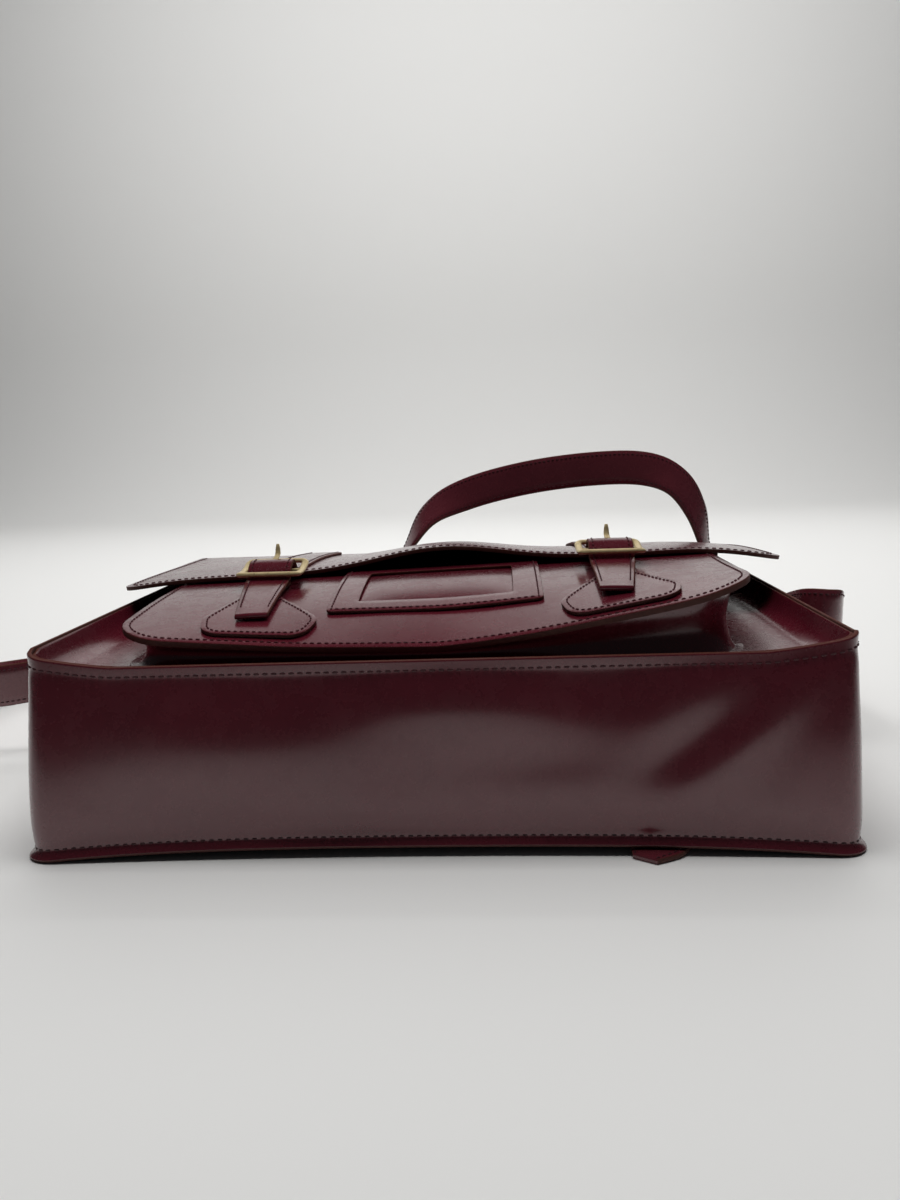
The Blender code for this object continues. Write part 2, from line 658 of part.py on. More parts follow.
def build_side_hardware(side, sign):
    """A leather tab sewn to the side, folded round the bar of a brass ring."""
    wall = sign * (HALF + 0.0010)
    bar = Vector((wall + sign * 0.0045, RING_Y, RING_Z))
    fold = 0.0027
    line = [Vector((wall, RING_Y + 0.024)), Vector((wall, RING_Y + 0.004))]
    for step in range(9):
        angle = math.radians(180 + 200 * step / 8)
        line.append(Vector((bar.x + sign * fold * math.cos(angle), RING_Y + fold * math.sin(angle))))
    line.append(Vector((wall + sign * 0.0030, RING_Y + 0.007)))
    line.append(Vector((wall + sign * 0.0019, RING_Y + 0.0235)))
    band = band_outline(line, 0.0014)
    bm = bmesh.new()
    bm.faces.new([bm.verts.new((x, y, RING_Z - 0.0125)) for x, y in band])
    raised = bmesh.ops.extrude_face_region(bm, geom=bm.faces[:], use_keep_orig=True)
    moved = [item for item in raised["geom"] if isinstance(item, bmesh.types.BMVert)]
    bmesh.ops.translate(bm, verts=moved, vec=(0, 0, 0.025))
    bmesh.ops.recalc_face_normals(bm, faces=bm.faces)
    add_object(side + "_strap_tab", bm)

    curve = bpy.data.curves.new(side + "_ring_line", "CURVE")
    curve.dimensions = "3D"
    curve.bevel_depth = 0.0016
    curve.bevel_resolution = 2
    spline = curve.splines.new("POLY")
    reach, half = 0.019, 0.0155
    loop = box_outline(-reach, -half, 0, half, 0.004)
    spline.points.add(len(loop) - 1)
    for slot, place in zip(spline.points, loop):
        slot.co = (0, place.x, place.y, 1)
    spline.use_cyclic_u = True
    ring = bpy.data.objects.new(side + "_ring", curve)
    ring.location = bar
    ring.parent = STAND
    ring.rotation_euler.z = sign * math.radians(18)
    curve.materials.append(finish_material(side + "_ring", True))
    SATCHEL.objects.link(ring)


def stand_up(along, across):
    """A turn that puts a piece's length along one direction and its width along another."""
    along, across = Vector(along).normalized(), Vector(across).normalized()
    return Matrix((across, along, across.cross(along))).transposed().to_4x4()


def build_strap_buckle():
    """The shoulder strap's buckle stands on edge behind the bag's right corner."""
    turn = stand_up(BUCKLE_ALONG, UPRIGHT)
    length, width, rail, bar = 0.030, 0.038, 0.0036, 0.0030
    outline = box_outline(-width / 2, -length / 2, width / 2, length / 2, 0.004)
    inner = width / 2 - rail
    windows = [(-inner, -length / 2 + rail, inner, -bar / 2), (-inner, bar / 2, inner, length / 2 - rail)]
    frame = laid_sheet(outline, lambda x, y: -BUCKLE_METAL / 2, 0.0, BUCKLE_METAL, windows=windows, cell=0.1)
    place = Matrix.Translation(SHOULDER_BUCKLE) @ turn
    add_object("shoulder_buckle_frame", frame, brass=True).matrix_basis = place
    pin = arc_line(Vector((0, 0)), 0.0034, -40, -275, 9)
    pin += [Vector((0.0075, 0.0042)), Vector((0.0175, 0.0030))]
    profile = band_outline(pin, 0.0020)
    prong = side_profile("shoulder_prong", profile, 0, PRONG_WIDTH, (0, 0, 0), brass=True)
    prong.matrix_basis = place @ Matrix.Rotation(math.pi, 4, "Z")
    keeper = laid_sheet(
        box_outline(-0.0172, -0.0047, 0.0168, 0.0106, 0.002),
        lambda x, y: -0.004,
        0.0,
        0.008,
        windows=[(-0.0154, -0.0029, 0.0150, 0.0088)],
        cell=0.1,
    )
    across = stand_up((1.0, 0.07, 0.0), UPRIGHT)
    add_object("strap_keeper", keeper).matrix_basis = Matrix.Translation(KEEPER) @ across


def build_shoulder_strap():
    ribbon("shoulder_strap", LONG_ROUTE, SHOULDER_WIDTH, SHOULDER_THICK)
    ribbon("shoulder_strap_tail", TAIL_ROUTE, SHOULDER_WIDTH, SHOULDER_THICK, point=0.55)
    ribbon("shoulder_strap_short", SHORT_ROUTE, SHOULDER_WIDTH, SHOULDER_THICK)


build_gusset()
build_panels()
build_pocket()
build_flap()
for strap_side in BUCKLES:
    build_closure(strap_side)
build_side_hardware("left", -1)
build_side_hardware("right", 1)
build_shoulder_strap()
build_strap_buckle()
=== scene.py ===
"""The looks of a polished leather school satchel on its back: X right, +Y to its top, +Z up."""

import math

import bmesh
import bpy
from mathutils import Matrix, Vector, noise


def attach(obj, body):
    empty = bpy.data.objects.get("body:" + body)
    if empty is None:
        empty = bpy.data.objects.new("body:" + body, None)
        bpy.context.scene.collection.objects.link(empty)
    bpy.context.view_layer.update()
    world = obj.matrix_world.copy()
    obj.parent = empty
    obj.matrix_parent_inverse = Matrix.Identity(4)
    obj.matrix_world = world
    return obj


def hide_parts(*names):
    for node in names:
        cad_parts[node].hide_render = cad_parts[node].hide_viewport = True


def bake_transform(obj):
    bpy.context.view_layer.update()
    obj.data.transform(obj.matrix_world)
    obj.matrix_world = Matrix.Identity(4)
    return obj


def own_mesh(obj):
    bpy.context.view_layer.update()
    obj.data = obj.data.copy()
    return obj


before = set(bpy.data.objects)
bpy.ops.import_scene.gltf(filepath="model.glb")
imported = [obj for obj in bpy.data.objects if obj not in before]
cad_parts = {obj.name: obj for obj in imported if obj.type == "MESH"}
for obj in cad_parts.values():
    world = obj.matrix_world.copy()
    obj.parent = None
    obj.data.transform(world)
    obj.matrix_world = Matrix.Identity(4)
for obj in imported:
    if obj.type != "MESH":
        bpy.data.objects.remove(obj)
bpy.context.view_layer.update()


# The room: a pale table top that runs up into a pale wall, under a wide soft lamp.
# It isn't part of the object.
FLOOR_Z = -0.006
scene = bpy.context.scene
scene.view_settings.view_transform = "Standard"

yaw, pitch, roll = (math.radians(angle) for angle in (3.163, 10.178, 1.917))
ahead = Vector((-math.sin(yaw) * math.cos(pitch), math.cos(yaw) * math.cos(pitch), -math.sin(pitch)))
level = Vector((math.cos(yaw), math.sin(yaw), 0))
above = level.cross(ahead)
rolled = Matrix.Rotation(roll, 3, ahead)
camera = bpy.data.objects.new("camera", bpy.data.cameras.new("camera"))
camera.data.lens = 27.03
camera.data.clip_start = 0.01
camera.matrix_world = Matrix((rolled @ level, rolled @ above, -ahead)).transposed().to_4x4()
camera.location = (0.0308, -0.5327, 0.1811)
scene.collection.objects.link(camera)
scene.camera = camera


def lamp(name, place, target, size, watts):
    light = bpy.data.lights.new(name, "AREA")
    light.shape = "RECTANGLE"
    light.size, light.size_y = size
    light.energy = watts
    made = bpy.data.objects.new(name, light)
    made.location = place
    made.rotation_mode = "QUATERNION"
    made.rotation_quaternion = (Vector(target) - Vector(place)).to_track_quat("-Z", "Y")
    made.visible_glossy = False
    scene.collection.objects.link(made)


lamp("overhead", (0.0, 0.75, 1.15), (0.0, 0.25, 0.0), (2.4, 1.3), 12)
lamp("near_floor", (0.0, -0.05, 1.35), (0.0, -0.12, 0.0), (1.1, 0.5), 12)
lamp("wall_wash", (0.0, 1.0, 1.7), (0.0, 2.3, 0.6), (2.6, 0.6), 26)
world = bpy.data.worlds.new("room")
world.use_nodes = True
world.node_tree.nodes["Background"].inputs["Color"].default_value = (0.75, 0.80, 0.86, 1.0)
world.node_tree.nodes["Background"].inputs["Strength"].default_value = 0.035
scene.world = world


def link(tree, start, output, end, name):
    tree.links.new(start.outputs[output], end.inputs[name])


def plain(name, tone, roughness, metal=0.0):
    material = bpy.data.materials.new(name)
    material.use_nodes = True
    shader = material.node_tree.nodes["Principled BSDF"]
    shader.inputs["Base Color"].default_value = (*tone, 1.0)
    shader.inputs["Roughness"].default_value = roughness
    shader.inputs["Metallic"].default_value = metal
    return material, material.node_tree, shader


def build_room():
    start, bend, reach, turn, height = -3.0, 1.7, 4.0, 0.6, 3.0
    profile = [(start, FLOOR_Z), (bend, FLOOR_Z)]
    for step in range(1, 13):
        angle = math.pi / 2 * step / 12
        profile.append((bend + turn * math.sin(angle), FLOOR_Z + turn * (1 - math.cos(angle))))
    profile.append((bend + turn, height))
    bm = bmesh.new()
    rows = [[bm.verts.new((side * reach, y, z)) for side in (-1, 1)] for y, z in profile]
    for low, high in zip(rows, rows[1:]):
        bm.faces.new((low[0], low[1], high[1], high[0])).smooth = True
    mesh = bpy.data.meshes.new("room")
    bm.to_mesh(mesh)
    bm.free()
    room = bpy.data.objects.new("room", mesh)
    scene.collection.objects.link(room)
    mesh.materials.append(plain("room_paint", (0.78, 0.775, 0.76), 0.6)[0])


build_room()


# The sides and bottom of the bag: one strip of thick leather, its front and back edges
# turned outwards and sewn to the two panels as standing seams with raw edges.
HALF, BOTTOM_Y, TOP_Y, DEPTH, LEATHER = 0.190, -0.140, 0.140, 0.096, 0.0022
CORNER = 0.012
LEATHER_TONE = (0.074, 0.0068, 0.0135, 1.0)
EDGE_TONE = (0.105, 0.032, 0.022)
THREAD_TONE = (0.085, 0.024, 0.028)


def new_node(tree, kind, **settings):
    made = tree.nodes.new(kind)
    for key, value in settings.items():
        setattr(made, key, value)
    return made


def noise_node(tree, coordinates, scale, detail, rough=0.55):
    made = new_node(tree, "ShaderNodeTexNoise")
    made.inputs["Scale"].default_value = scale
    made.inputs["Detail"].default_value = detail
    made.inputs["Roughness"].default_value = rough
    link(tree, coordinates, "Object", made, "Vector")
    return made


def bump_node(tree, source, output, strength, distance):
    made = new_node(tree, "ShaderNodeBump")
    made.inputs["Strength"].default_value = strength
    made.inputs["Distance"].default_value = distance
    link(tree, source, output, made, "Height")
    return made


def tone_between(tree, factor, first, second, shader):
    """Sets the shader's colour between two tones."""
    mix = new_node(tree, "ShaderNodeMix", data_type="RGBA")
    mix.inputs[6].default_value = first
    mix.inputs[7].default_value = second
    tree.links.new(factor, mix.inputs[0])
    tree.links.new(mix.outputs[2], shader.inputs["Base Color"])


def grain_group():
    """Polished hide: tone that drifts, fine pores, soft waves, and a few dull scuffs."""
    tree = bpy.data.node_groups.new("hide_grain", "ShaderNodeTree")
    for name, kind in (("Tone", "Float"), ("Roughness", "Float"), ("Normal", "Vector")):
        tree.interface.new_socket(name, in_out="OUTPUT", socket_type="NodeSocket" + kind)
    out = new_node(tree, "NodeGroupOutput")
    place = new_node(tree, "ShaderNodeTexCoord")
    drift = noise_node(tree, place, 14.0, 5.0)
    waves = noise_node(tree, place, 38.0, 2.0)
    specks = noise_node(tree, place, 1900.0, 3.0)
    scuffs = noise_node(tree, place, 95.0, 6.0, 0.7)
    pores = new_node(tree, "ShaderNodeTexVoronoi", feature="DISTANCE_TO_EDGE")
    pores.inputs["Scale"].default_value = 950.0
    link(tree, place, "Object", pores, "Vector")
    cells = new_node(tree, "ShaderNodeMapRange")
    cells.inputs["From Max"].default_value = 0.28
    link(tree, pores, "Distance", cells, "Value")
    fine = new_node(tree, "ShaderNodeMath", operation="MULTIPLY_ADD")
    fine.inputs[1].default_value = 0.5
    link(tree, specks, "Fac", fine, 0)
    link(tree, cells, "Result", fine, 2)
    tone = new_node(tree, "ShaderNodeMapRange")
    tone.inputs["From Min"].default_value = 0.3
    tone.inputs["From Max"].default_value = 0.7
    link(tree, drift, "Fac", tone, "Value")
    dull = new_node(tree, "ShaderNodeMapRange")
    for name, value in (("From Min", 0.45), ("From Max", 0.75), ("To Min", 0.24), ("To Max", 0.42)):
        dull.inputs[name].default_value = value
    link(tree, scuffs, "Fac", dull, "Value")
    swell = bump_node(tree, waves, "Fac", 0.30, 0.0007)
    bump = bump_node(tree, fine, "Value", 0.16, 0.00008)
    link(tree, swell, "Normal", bump, "Normal")
    link(tree, tone, "Result", out, "Tone")
    link(tree, dull, "Result", out, "Roughness")
    link(tree, bump, "Normal", out, "Normal")
    return tree


def hide_material(name, tone, tone_far, gloss=1.0):
    """Dyed and polished leather under a clear glossy finish."""
    material, tree, shader = plain(name, tone[:3], 0.3)
    grain = new_node(tree, "ShaderNodeGroup", node_tree=GRAIN)
    tone_between(tree, grain.outputs["Tone"], tone, tone_far, shader)
    link(tree, grain, "Roughness", shader, "Roughness")
    link(tree, grain, "Normal", shader, "Normal")
    shader.inputs["IOR"].default_value = 1.6
    shader.inputs["Specular Tint"].default_value = (1.0, 0.62, 0.64, 1.0)
    shader.inputs["Coat Weight"].default_value = 0.7 * gloss
    shader.inputs["Coat IOR"].default_value = 1.68
    shader.inputs["Coat Roughness"].default_value = 0.16
    return material


def fibre_material(name, tone, dark, scale, roughness=0.75):
    """Raw leather: an edge or the flesh side, with short fibres."""
    material, tree, shader = plain(name, tone, roughness)
    place = new_node(tree, "ShaderNodeTexCoord")
    fibres = noise_node(tree, place, scale, 6.0, 0.7)
    tone_between(tree, fibres.outputs["Fac"], (*dark, 1.0), (*tone, 1.0), shader)
    bump = bump_node(tree, fibres, "Fac", 0.6, 0.0003)
    link(tree, bump, "Normal", shader, "Normal")
    return material


GRAIN = grain_group()
HIDE = hide_material("polished_hide", LEATHER_TONE, (0.100, 0.0105, 0.0190, 1.0))
RAW_EDGE = fibre_material("raw_edge", EDGE_TONE, (0.050, 0.014, 0.012), 700.0)
FLESH = fibre_material("flesh_side", (0.060, 0.022, 0.017), (0.028, 0.009, 0.008), 420.0, 0.9)
THREAD = fibre_material("thread", THREAD_TONE, (0.030, 0.008, 0.011), 2500.0, 0.6)


def place_mesh(name, bm, materials, body, nodes=()):
    mesh = bpy.data.meshes.new(name)
    for face in bm.faces:
        face.smooth = True
    bm.to_mesh(mesh)
    bm.free()
    made = bpy.data.objects.new(name, mesh)
    scene.collection.objects.link(made)
    for material in materials:
        mesh.materials.append(material)
    if body:
        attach(made, body)
    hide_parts(*nodes)
    return made


def grid_mesh(rows, skip=()):
    """A sheet through rows of points; skip holds the (row, column) of faces left out."""
    bm = bmesh.new()
    made = [[bm.verts.new(point) for point in row] for row in rows]
    for r, (low, high) in enumerate(zip(made, made[1:])):
        for c in range(len(low) - 1):
            if (r, c) not in skip:
                bm.faces.new((low[c], low[c + 1], high[c + 1], high[c]))
    return bm


def leather_sheet(name, bm, thickness, body, nodes=(), materials=None, round_by=0.0005):
    """Gives an open sheet its thickness behind its face, with rounded raw edges."""
    made = place_mesh(name, bm, materials or (HIDE, RAW_EDGE, FLESH), body, nodes)
    shell = made.modifiers.new("thickness", "SOLIDIFY")
    shell.thickness = thickness
    shell.offset = -1.0
    shell.use_even_offset = True
    shell.material_offset_rim = 1
    shell.material_offset = 2
    edges = made.modifiers.new("rounding", "BEVEL")
    edges.width = round_by
    edges.segments = 2
    edges.limit_method = "ANGLE"
    edges.angle_limit = math.radians(55)
    return made


def evenly(points, pitch):
    """Places spaced evenly along a line of points, each with the direction of the line."""
    spans = [(b - a).length for a, b in zip(points, points[1:])]
    total = sum(spans)
    count = max(1, round(total / pitch))
    made, index, walked = [], 0, 0.0
    for step in range(count):
        target = total * (step + 0.5) / count
        while index < len(spans) - 1 and walked + spans[index] < target:
            walked += spans[index]
            index += 1
        share = (target - walked) / max(spans[index], 1e-9)
        start, end = points[index], points[index + 1]
        made.append((start.lerp(end, share), (end - start).normalized()))
    return made


# Along one stitch: where, how thick, and how far it dips into the leather.
STITCH_PROFILE = ((-0.5, 0.5, -0.0003), (-0.3, 1.0, 0.0), (0.3, 1.0, 0.0), (0.5, 0.5, -0.0003))


def stitch_row(bm, points, normal_at, pitch=0.0040, radius=0.00042, show=0.66):
    """Adds one short hump of thread for each stitch along a line that lies on a surface."""
    for place, along in evenly(points, pitch):
        normal = normal_at(place)
        across = along.cross(normal).normalized()
        rings = []
        for at, size, lift in STITCH_PROFILE:
            centre = place + along * at * pitch * show + normal * (lift + radius * 0.45)
            ring = []
            for side in range(6):
                angle = math.pi * side / 3
                spoke = across * math.cos(angle) * 1.15 + normal * math.sin(angle)
                ring.append(bm.verts.new(centre + spoke * radius * size))
            rings.append(ring)
        for here, there in zip(rings, rings[1:]):
            for side in range(6):
                bm.faces.new((here[side], there[side], there[(side + 1) % 6], here[(side + 1) % 6]))
        bm.faces.new(rings[0])
        bm.faces.new(rings[-1][::-1])


def ramp(low, high, value):
    share = min(max((value - low) / (high - low), 0.0), 1.0)
    return share * share * (3 - 2 * share)


def wall_path(inset, runs=44, turns=8, across=72, top_y=TOP_Y - 0.0008):
    """(x, y, outward normal) round the left side, the bottom and the right side."""
    side, floor, radius = HALF - inset, BOTTOM_Y + inset, max(CORNER - inset, 0.004)
    path = []
    for step in range(runs):
        path.append((-side, top_y + (floor + radius - top_y) * step / runs, Vector((-1, 0, 0))))
    for step in range(turns + 1):
        angle = math.pi + math.pi / 2 * step / turns
        normal = Vector((math.cos(angle), math.sin(angle), 0))
        path.append((-side + radius + radius * normal.x, floor + radius + radius * normal.y, normal))
    for step in range(1, across):
        path.append((-side + radius + 2 * (side - radius) * step / across, floor, Vector((0, -1, 0))))
    mirrored = [(-x, y, Vector((-n.x, n.y, 0))) for x, y, n in reversed(path[: runs + turns + 1])]
    return path + mirrored


def belly(x, y):
    if y > BOTTOM_Y + CORNER:
        return 0.0
    return 1.0 - (abs(x) / HALF) ** 4


def wall_low(x, y):
    """Height of the strip's lower raw edge: on the table at the corners, clear of it between them."""
    if y > BOTTOM_Y + CORNER:
        lift = 0.0045 * (1.0 - min(abs(y) / TOP_Y, 1.0) ** 4)
    else:
        lift = 0.0045 * belly(x, y)
    return FLOOR_Z + 0.0009 + lift


def wall_high(x, y):
    middle = belly(x, y)
    tilt = 0.0008 * x / HALF if y < BOTTOM_Y + CORNER else 0.0
    return FLOOR_Z + DEPTH - 0.0065 * min(1.0, middle * 1.6) + tilt


# Dents and creases of the soft wall: (x, share of the height, width, height, depth, slant)
DENTS = [
    (0.115, 0.55, 0.016, 0.22, -0.0035, 0.9),
    (0.145, 0.62, 0.012, 0.30, 0.0022, 0.9),
    (-0.125, 0.18, 0.030, 0.16, -0.0022, -0.5),
    (-0.060, 0.60, 0.050, 0.20, 0.0018, 0.3),
    (0.045, 0.45, 0.040, 0.14, -0.0020, 0.2),
    (0.010, 0.75, 0.055, 0.12, 0.0014, -0.3),
]


BULGE_AT = 0.22


def wall_out(x, y, part):
    """How far the strip stands out: the sides pulled in halfway, the bottom bulging low down,
    both lips flared, and soft dents between."""
    front = ramp(BOTTOM_Y + CORNER, BOTTOM_Y, y)
    out = -0.0026 * math.sin(math.pi * min(part * 1.15, 1.0)) * (1.0 - front)
    if part > BULGE_AT:
        fall = ((part - BULGE_AT) / (1.0 - BULGE_AT)) ** 2
    else:
        fall = 0.6 * ((BULGE_AT - part) / BULGE_AT) ** 2
    out += 0.0060 * front * (1.0 - fall)
    out += 0.0040 * max(0.0, 1.0 - part / 0.038) ** 1.2
    out += 0.0012 * max(0.0, (part - 0.93) / 0.07)
    inside = ramp(0.05, 0.20, part) * ramp(1.0, 0.85, part)
    out += 0.0014 * inside * noise.noise(Vector((x * 14, y * 14, part * 1.6)))
    if y < BOTTOM_Y + CORNER:
        for at, share, wide, tall, deep, slant in DENTS:
            aside = (x - at - slant * (part - share) * 0.09) / wide
            rise = (part - share) / tall
            out += 0.55 * deep * inside * math.exp(-aside * aside - rise * rise)
    return out


def wall_point(x, y, normal, part):
    """A point of the strip's face; the bottom wall also leans out towards its lower edge."""
    low, high = wall_low(x, y), wall_high(x, y)
    slack = 1.0 - 0.55 * (1.0 - (x / HALF) ** 2)
    lean = 0.0105 * slack * (1.0 - part) * ramp(-0.04, BOTTOM_Y, y)
    return Vector((x, y - lean, low + (high - low) * part)) + normal * wall_out(x, y, part)


def wall_facing(place):
    if place.y > BOTTOM_Y + CORNER:
        return Vector((math.copysign(1.0, place.x), 0, 0))
    if abs(place.x) < HALF - CORNER:
        return Vector((0, -1, 0))
    centre = Vector((math.copysign(HALF - CORNER, place.x), BOTTOM_Y + CORNER, place.z))
    return (place - centre).normalized()


# Heights of the two seams, as shares of the wall's height.
SEAM_PARTS = (0.042, 0.945)


def build_gusset():
    parts = [0.0, 0.012, 0.03, 0.05, 0.075, 0.10]
    parts += [0.10 + 0.80 * step / 22 for step in range(1, 23)]
    parts += [0.925, 0.94, 0.955, 0.975, 0.99, 1.0]
    rows = [[wall_point(x, y, n, part) for part in parts] for x, y, n in wall_path(0.0)]
    bm = grid_mesh([row[::-1] for row in rows])
    made = leather_sheet("gusset_leather", bm, LEATHER, "bag", ["gusset"])

    bm = bmesh.new()
    path = wall_path(0.0, across=110)
    for part in SEAM_PARTS:
        stitch_row(bm, [wall_point(x, y, n, part) for x, y, n in path], wall_facing)
    place_mesh("gusset_stitches", bm, (THREAD,), "bag")


build_gusset()


# The front and back panels: plates of the same leather inside the strip, their edges turned
# up along it and sewn through. The back one lies just clear of the table.
FRONT_PANEL_Z = FLOOR_Z + 0.0825


def panel_rows(inset, top_y, height):
    """Rows of a panel, closer together towards its sewn edges; height(x, y, distance) shapes it."""
    side, floor, radius = HALF - inset, BOTTOM_Y + inset, max(CORNER - inset, 0.004)
    near = [0.0, 0.0004, 0.0010, 0.0018, 0.0028, 0.0042, 0.0060, 0.0085, 0.0115]
    reach = near[-1]
    ys = [floor + d for d in near]
    ys += [floor + reach + (top_y - floor - reach) * k / 26 for k in range(1, 27)]
    rows = []
    for y in ys:
        into = y - floor
        wide = side
        if into < radius:
            wide = side - radius + math.sqrt(max(radius**2 - (radius - into) ** 2, 0.0))
        inner = wide - reach
        xs = [-wide + d for d in near] + [-inner + 2 * inner * k / 30 for k in range(1, 30)]
        xs += [wide - d for d in reversed(near)]
        row = []
        for x in xs:
            away = min(into, wide - abs(x))
            if into < radius and abs(x) > side - radius:
                away = max(radius - math.hypot(abs(x) - side + radius, radius - into), 0.0)
            row.append(Vector((x, y, height(x, y, away))))
        rows.append(row)
    return rows


def build_panels():
    def front_height(x, y, away):
        rise = wall_high(x, y) - 0.0003 - FRONT_PANEL_Z
        sag = 0.0020 * noise.noise(Vector((x * 9, y * 9, 4.0)))
        turned_up = rise * math.exp(-((away / 0.0032) ** 1.1))
        return FRONT_PANEL_Z + turned_up + sag * ramp(0.0, 0.02, away)

    bm = grid_mesh(panel_rows(LEATHER + 0.0004, TOP_Y - 0.006, front_height))
    made = leather_sheet("front_panel_leather", bm, LEATHER, "bag", ["front_panel"])

    def back_height(x, y, away):
        rim = wall_low(x, y) - 0.0004
        return rim * (1.0 - ramp(0.0, 0.012, away))

    rows = panel_rows(-0.0012, TOP_Y - 0.0005, back_height)
    bm = grid_mesh([row[::-1] for row in rows])
    made = leather_sheet("back_panel_leather", bm, LEATHER, "bag", ["back_panel"])


build_panels()


# The front pocket: a thick stiff plate that swells towards its mouth, on a thin gusset of its
# own, with a stitched window for a name card.
POCKET_LEFT, POCKET_RIGHT, POCKET_BOTTOM, POCKET_MOUTH = -0.155, 0.152, -0.127, 0.035
FLAP_EDGE_Y = -0.020
PLATE = 0.0032
WINDOW = (-0.041, -0.082, 0.038, -0.029)
WINDOW_FRAME = (-0.056, -0.094, 0.053, -0.018)


def pocket_top(x, y):
    """The top of the plate: low at its bottom edge, swelling towards its mouth."""
    if x < 0:
        edge = 0.0925 + 0.0080 * (x / POCKET_LEFT) ** 2
    else:
        edge = 0.0925 + 0.0275 * (x / POCKET_RIGHT) ** 1.35
    swollen = 0.1125 + 0.035 * x
    if y > FLAP_EDGE_Y:
        swollen -= 0.0025 * ((y - FLAP_EDGE_Y) / (POCKET_MOUTH - FLAP_EDGE_Y)) ** 2
    rise = math.sin(min(max((y - POCKET_BOTTOM) / 0.100, 0.0), 1.0) * math.pi / 2)
    return FLOOR_Z + edge + (swollen - edge) * rise


def pocket_face(x, y):
    """The plate as it shows: the card window's leather is domed, and the rest a little uneven."""
    x0, y0, x1, y1 = WINDOW
    across = max(0.0, 1.0 - abs((x - (x0 + x1) / 2) / ((x1 - x0) / 2 + 0.002)) ** 3)
    along = max(0.0, 1.0 - abs((y - (y0 + y1) / 2) / ((y1 - y0) / 2 + 0.002)) ** 3)
    uneven = 0.0004 * noise.noise(Vector((x * 22, y * 22, 0)))
    return pocket_top(x, y) + 0.0020 * across * along + uneven


def rounded(corners, segments=8):
    """Points round a polygon of (x, y, radius) corners, each corner an arc."""
    points = []
    for index, (x, y, radius) in enumerate(corners):
        here = Vector((x, y))
        before = Vector(corners[index - 1][:2]) - here
        after = Vector(corners[(index + 1) % len(corners)][:2]) - here
        if radius <= 0:
            points.append(here)
            continue
        half = before.angle(after) / 2
        reach = radius / math.tan(half)
        start = here + before.normalized() * reach
        middle = (before.normalized() + after.normalized()).normalized()
        centre = here + middle * (radius / math.sin(half))
        first, last = start - centre, here + after.normalized() * reach - centre
        turn = first.angle_signed(last)
        for step in range(segments + 1):
            points.append(centre + Matrix.Rotation(-turn * step / segments, 2) @ first)
    return points


def box_outline(x0, y0, x1, y1, radius, segments=8):
    corners = [(x0, y0, radius), (x1, y0, radius), (x1, y1, radius), (x0, y1, radius)]
    return rounded(corners, segments)


def cut_along(bm, axis, values):
    normal = Vector((axis == 0, axis == 1, 0))
    for value in values:
        geometry = bm.verts[:] + bm.edges[:] + bm.faces[:]
        bmesh.ops.bisect_plane(bm, geom=geometry, plane_co=normal * value, plane_no=normal)


def laid_sheet(outline, surface, lift=0.0, windows=(), cell=0.004):
    """An open sheet with this outline that lies on surface(x, y), raised by lift, facing up."""
    bm = bmesh.new()
    bm.faces.new([bm.verts.new((p.x, p.y, 0)) for p in outline])
    for axis in (0, 1):
        low = min(p[axis] for p in outline)
        high = max(p[axis] for p in outline)
        count = max(2, round((high - low) / cell))
        cut_along(bm, axis, [low + (high - low) * k / count for k in range(1, count)])
    for x0, y0, x1, y1 in windows:
        cut_along(bm, 0, (x0, x1))
        cut_along(bm, 1, (y0, y1))
        inside = []
        for face in bm.faces:
            middle = face.calc_center_median()
            if x0 < middle.x < x1 and y0 < middle.y < y1:
                inside.append(face)
        bmesh.ops.delete(bm, geom=inside, context="FACES")
    bmesh.ops.remove_doubles(bm, verts=bm.verts, dist=0.00002)
    for vert in bm.verts:
        vert.co.z = surface(vert.co.x, vert.co.y) + lift
    bm.normal_update()
    if sum(face.normal.z for face in bm.faces) < 0:
        bmesh.ops.reverse_faces(bm, faces=bm.faces)
    return bm


def surface_normal(surface, place, step=0.001):
    x, y = place.x, place.y
    slope_x = (surface(x + step, y) - surface(x - step, y)) / (2 * step)
    slope_y = (surface(x, y + step) - surface(x, y - step)) / (2 * step)
    return Vector((-slope_x, -slope_y, 1)).normalized()


def divided(corners, longest):
    """The same line with points added, so that no stretch is much longer than this."""
    points = []
    for start, end in zip(corners, corners[1:]):
        pieces = max(1, round((end - start).length / longest))
        points += [start.lerp(end, step / pieces) for step in range(pieces)]
    return points + [corners[-1]]


def directions(points):
    """The direction of a line at each of its points."""
    last = len(points) - 1
    return [points[min(k + 1, last)] - points[max(k - 1, 0)] for k in range(last + 1)]


def stitch_outline(bm, outline, surface, lift, pitch=0.0034):
    """A row of stitches along an outline that lies on surface(x, y)."""
    points = divided(outline, 0.004)
    line = [Vector((p.x, p.y, surface(p.x, p.y) + lift)) for p in points]
    stitch_row(bm, line, lambda place: surface_normal(surface, place), pitch, 0.00036)


def pocket_outline(inset=0.0):
    left, right, low = POCKET_LEFT + inset, POCKET_RIGHT - inset, POCKET_BOTTOM + inset
    return rounded(
        [
            (left, POCKET_MOUTH, 0),
            (left, low, 0.026 - inset),
            (right, low, 0.036 - inset),
            (right, POCKET_MOUTH, 0),
        ]
    )


# The pocket's gusset from foot to roof: share of its height, and how far it stands out.
POCKET_WALL = ((0.10, 0.0003), (0.3, -0.0016), (0.5, -0.0024), (0.7, -0.0016), (1.0, 0.0))
FRAME_LIFT = 0.0020


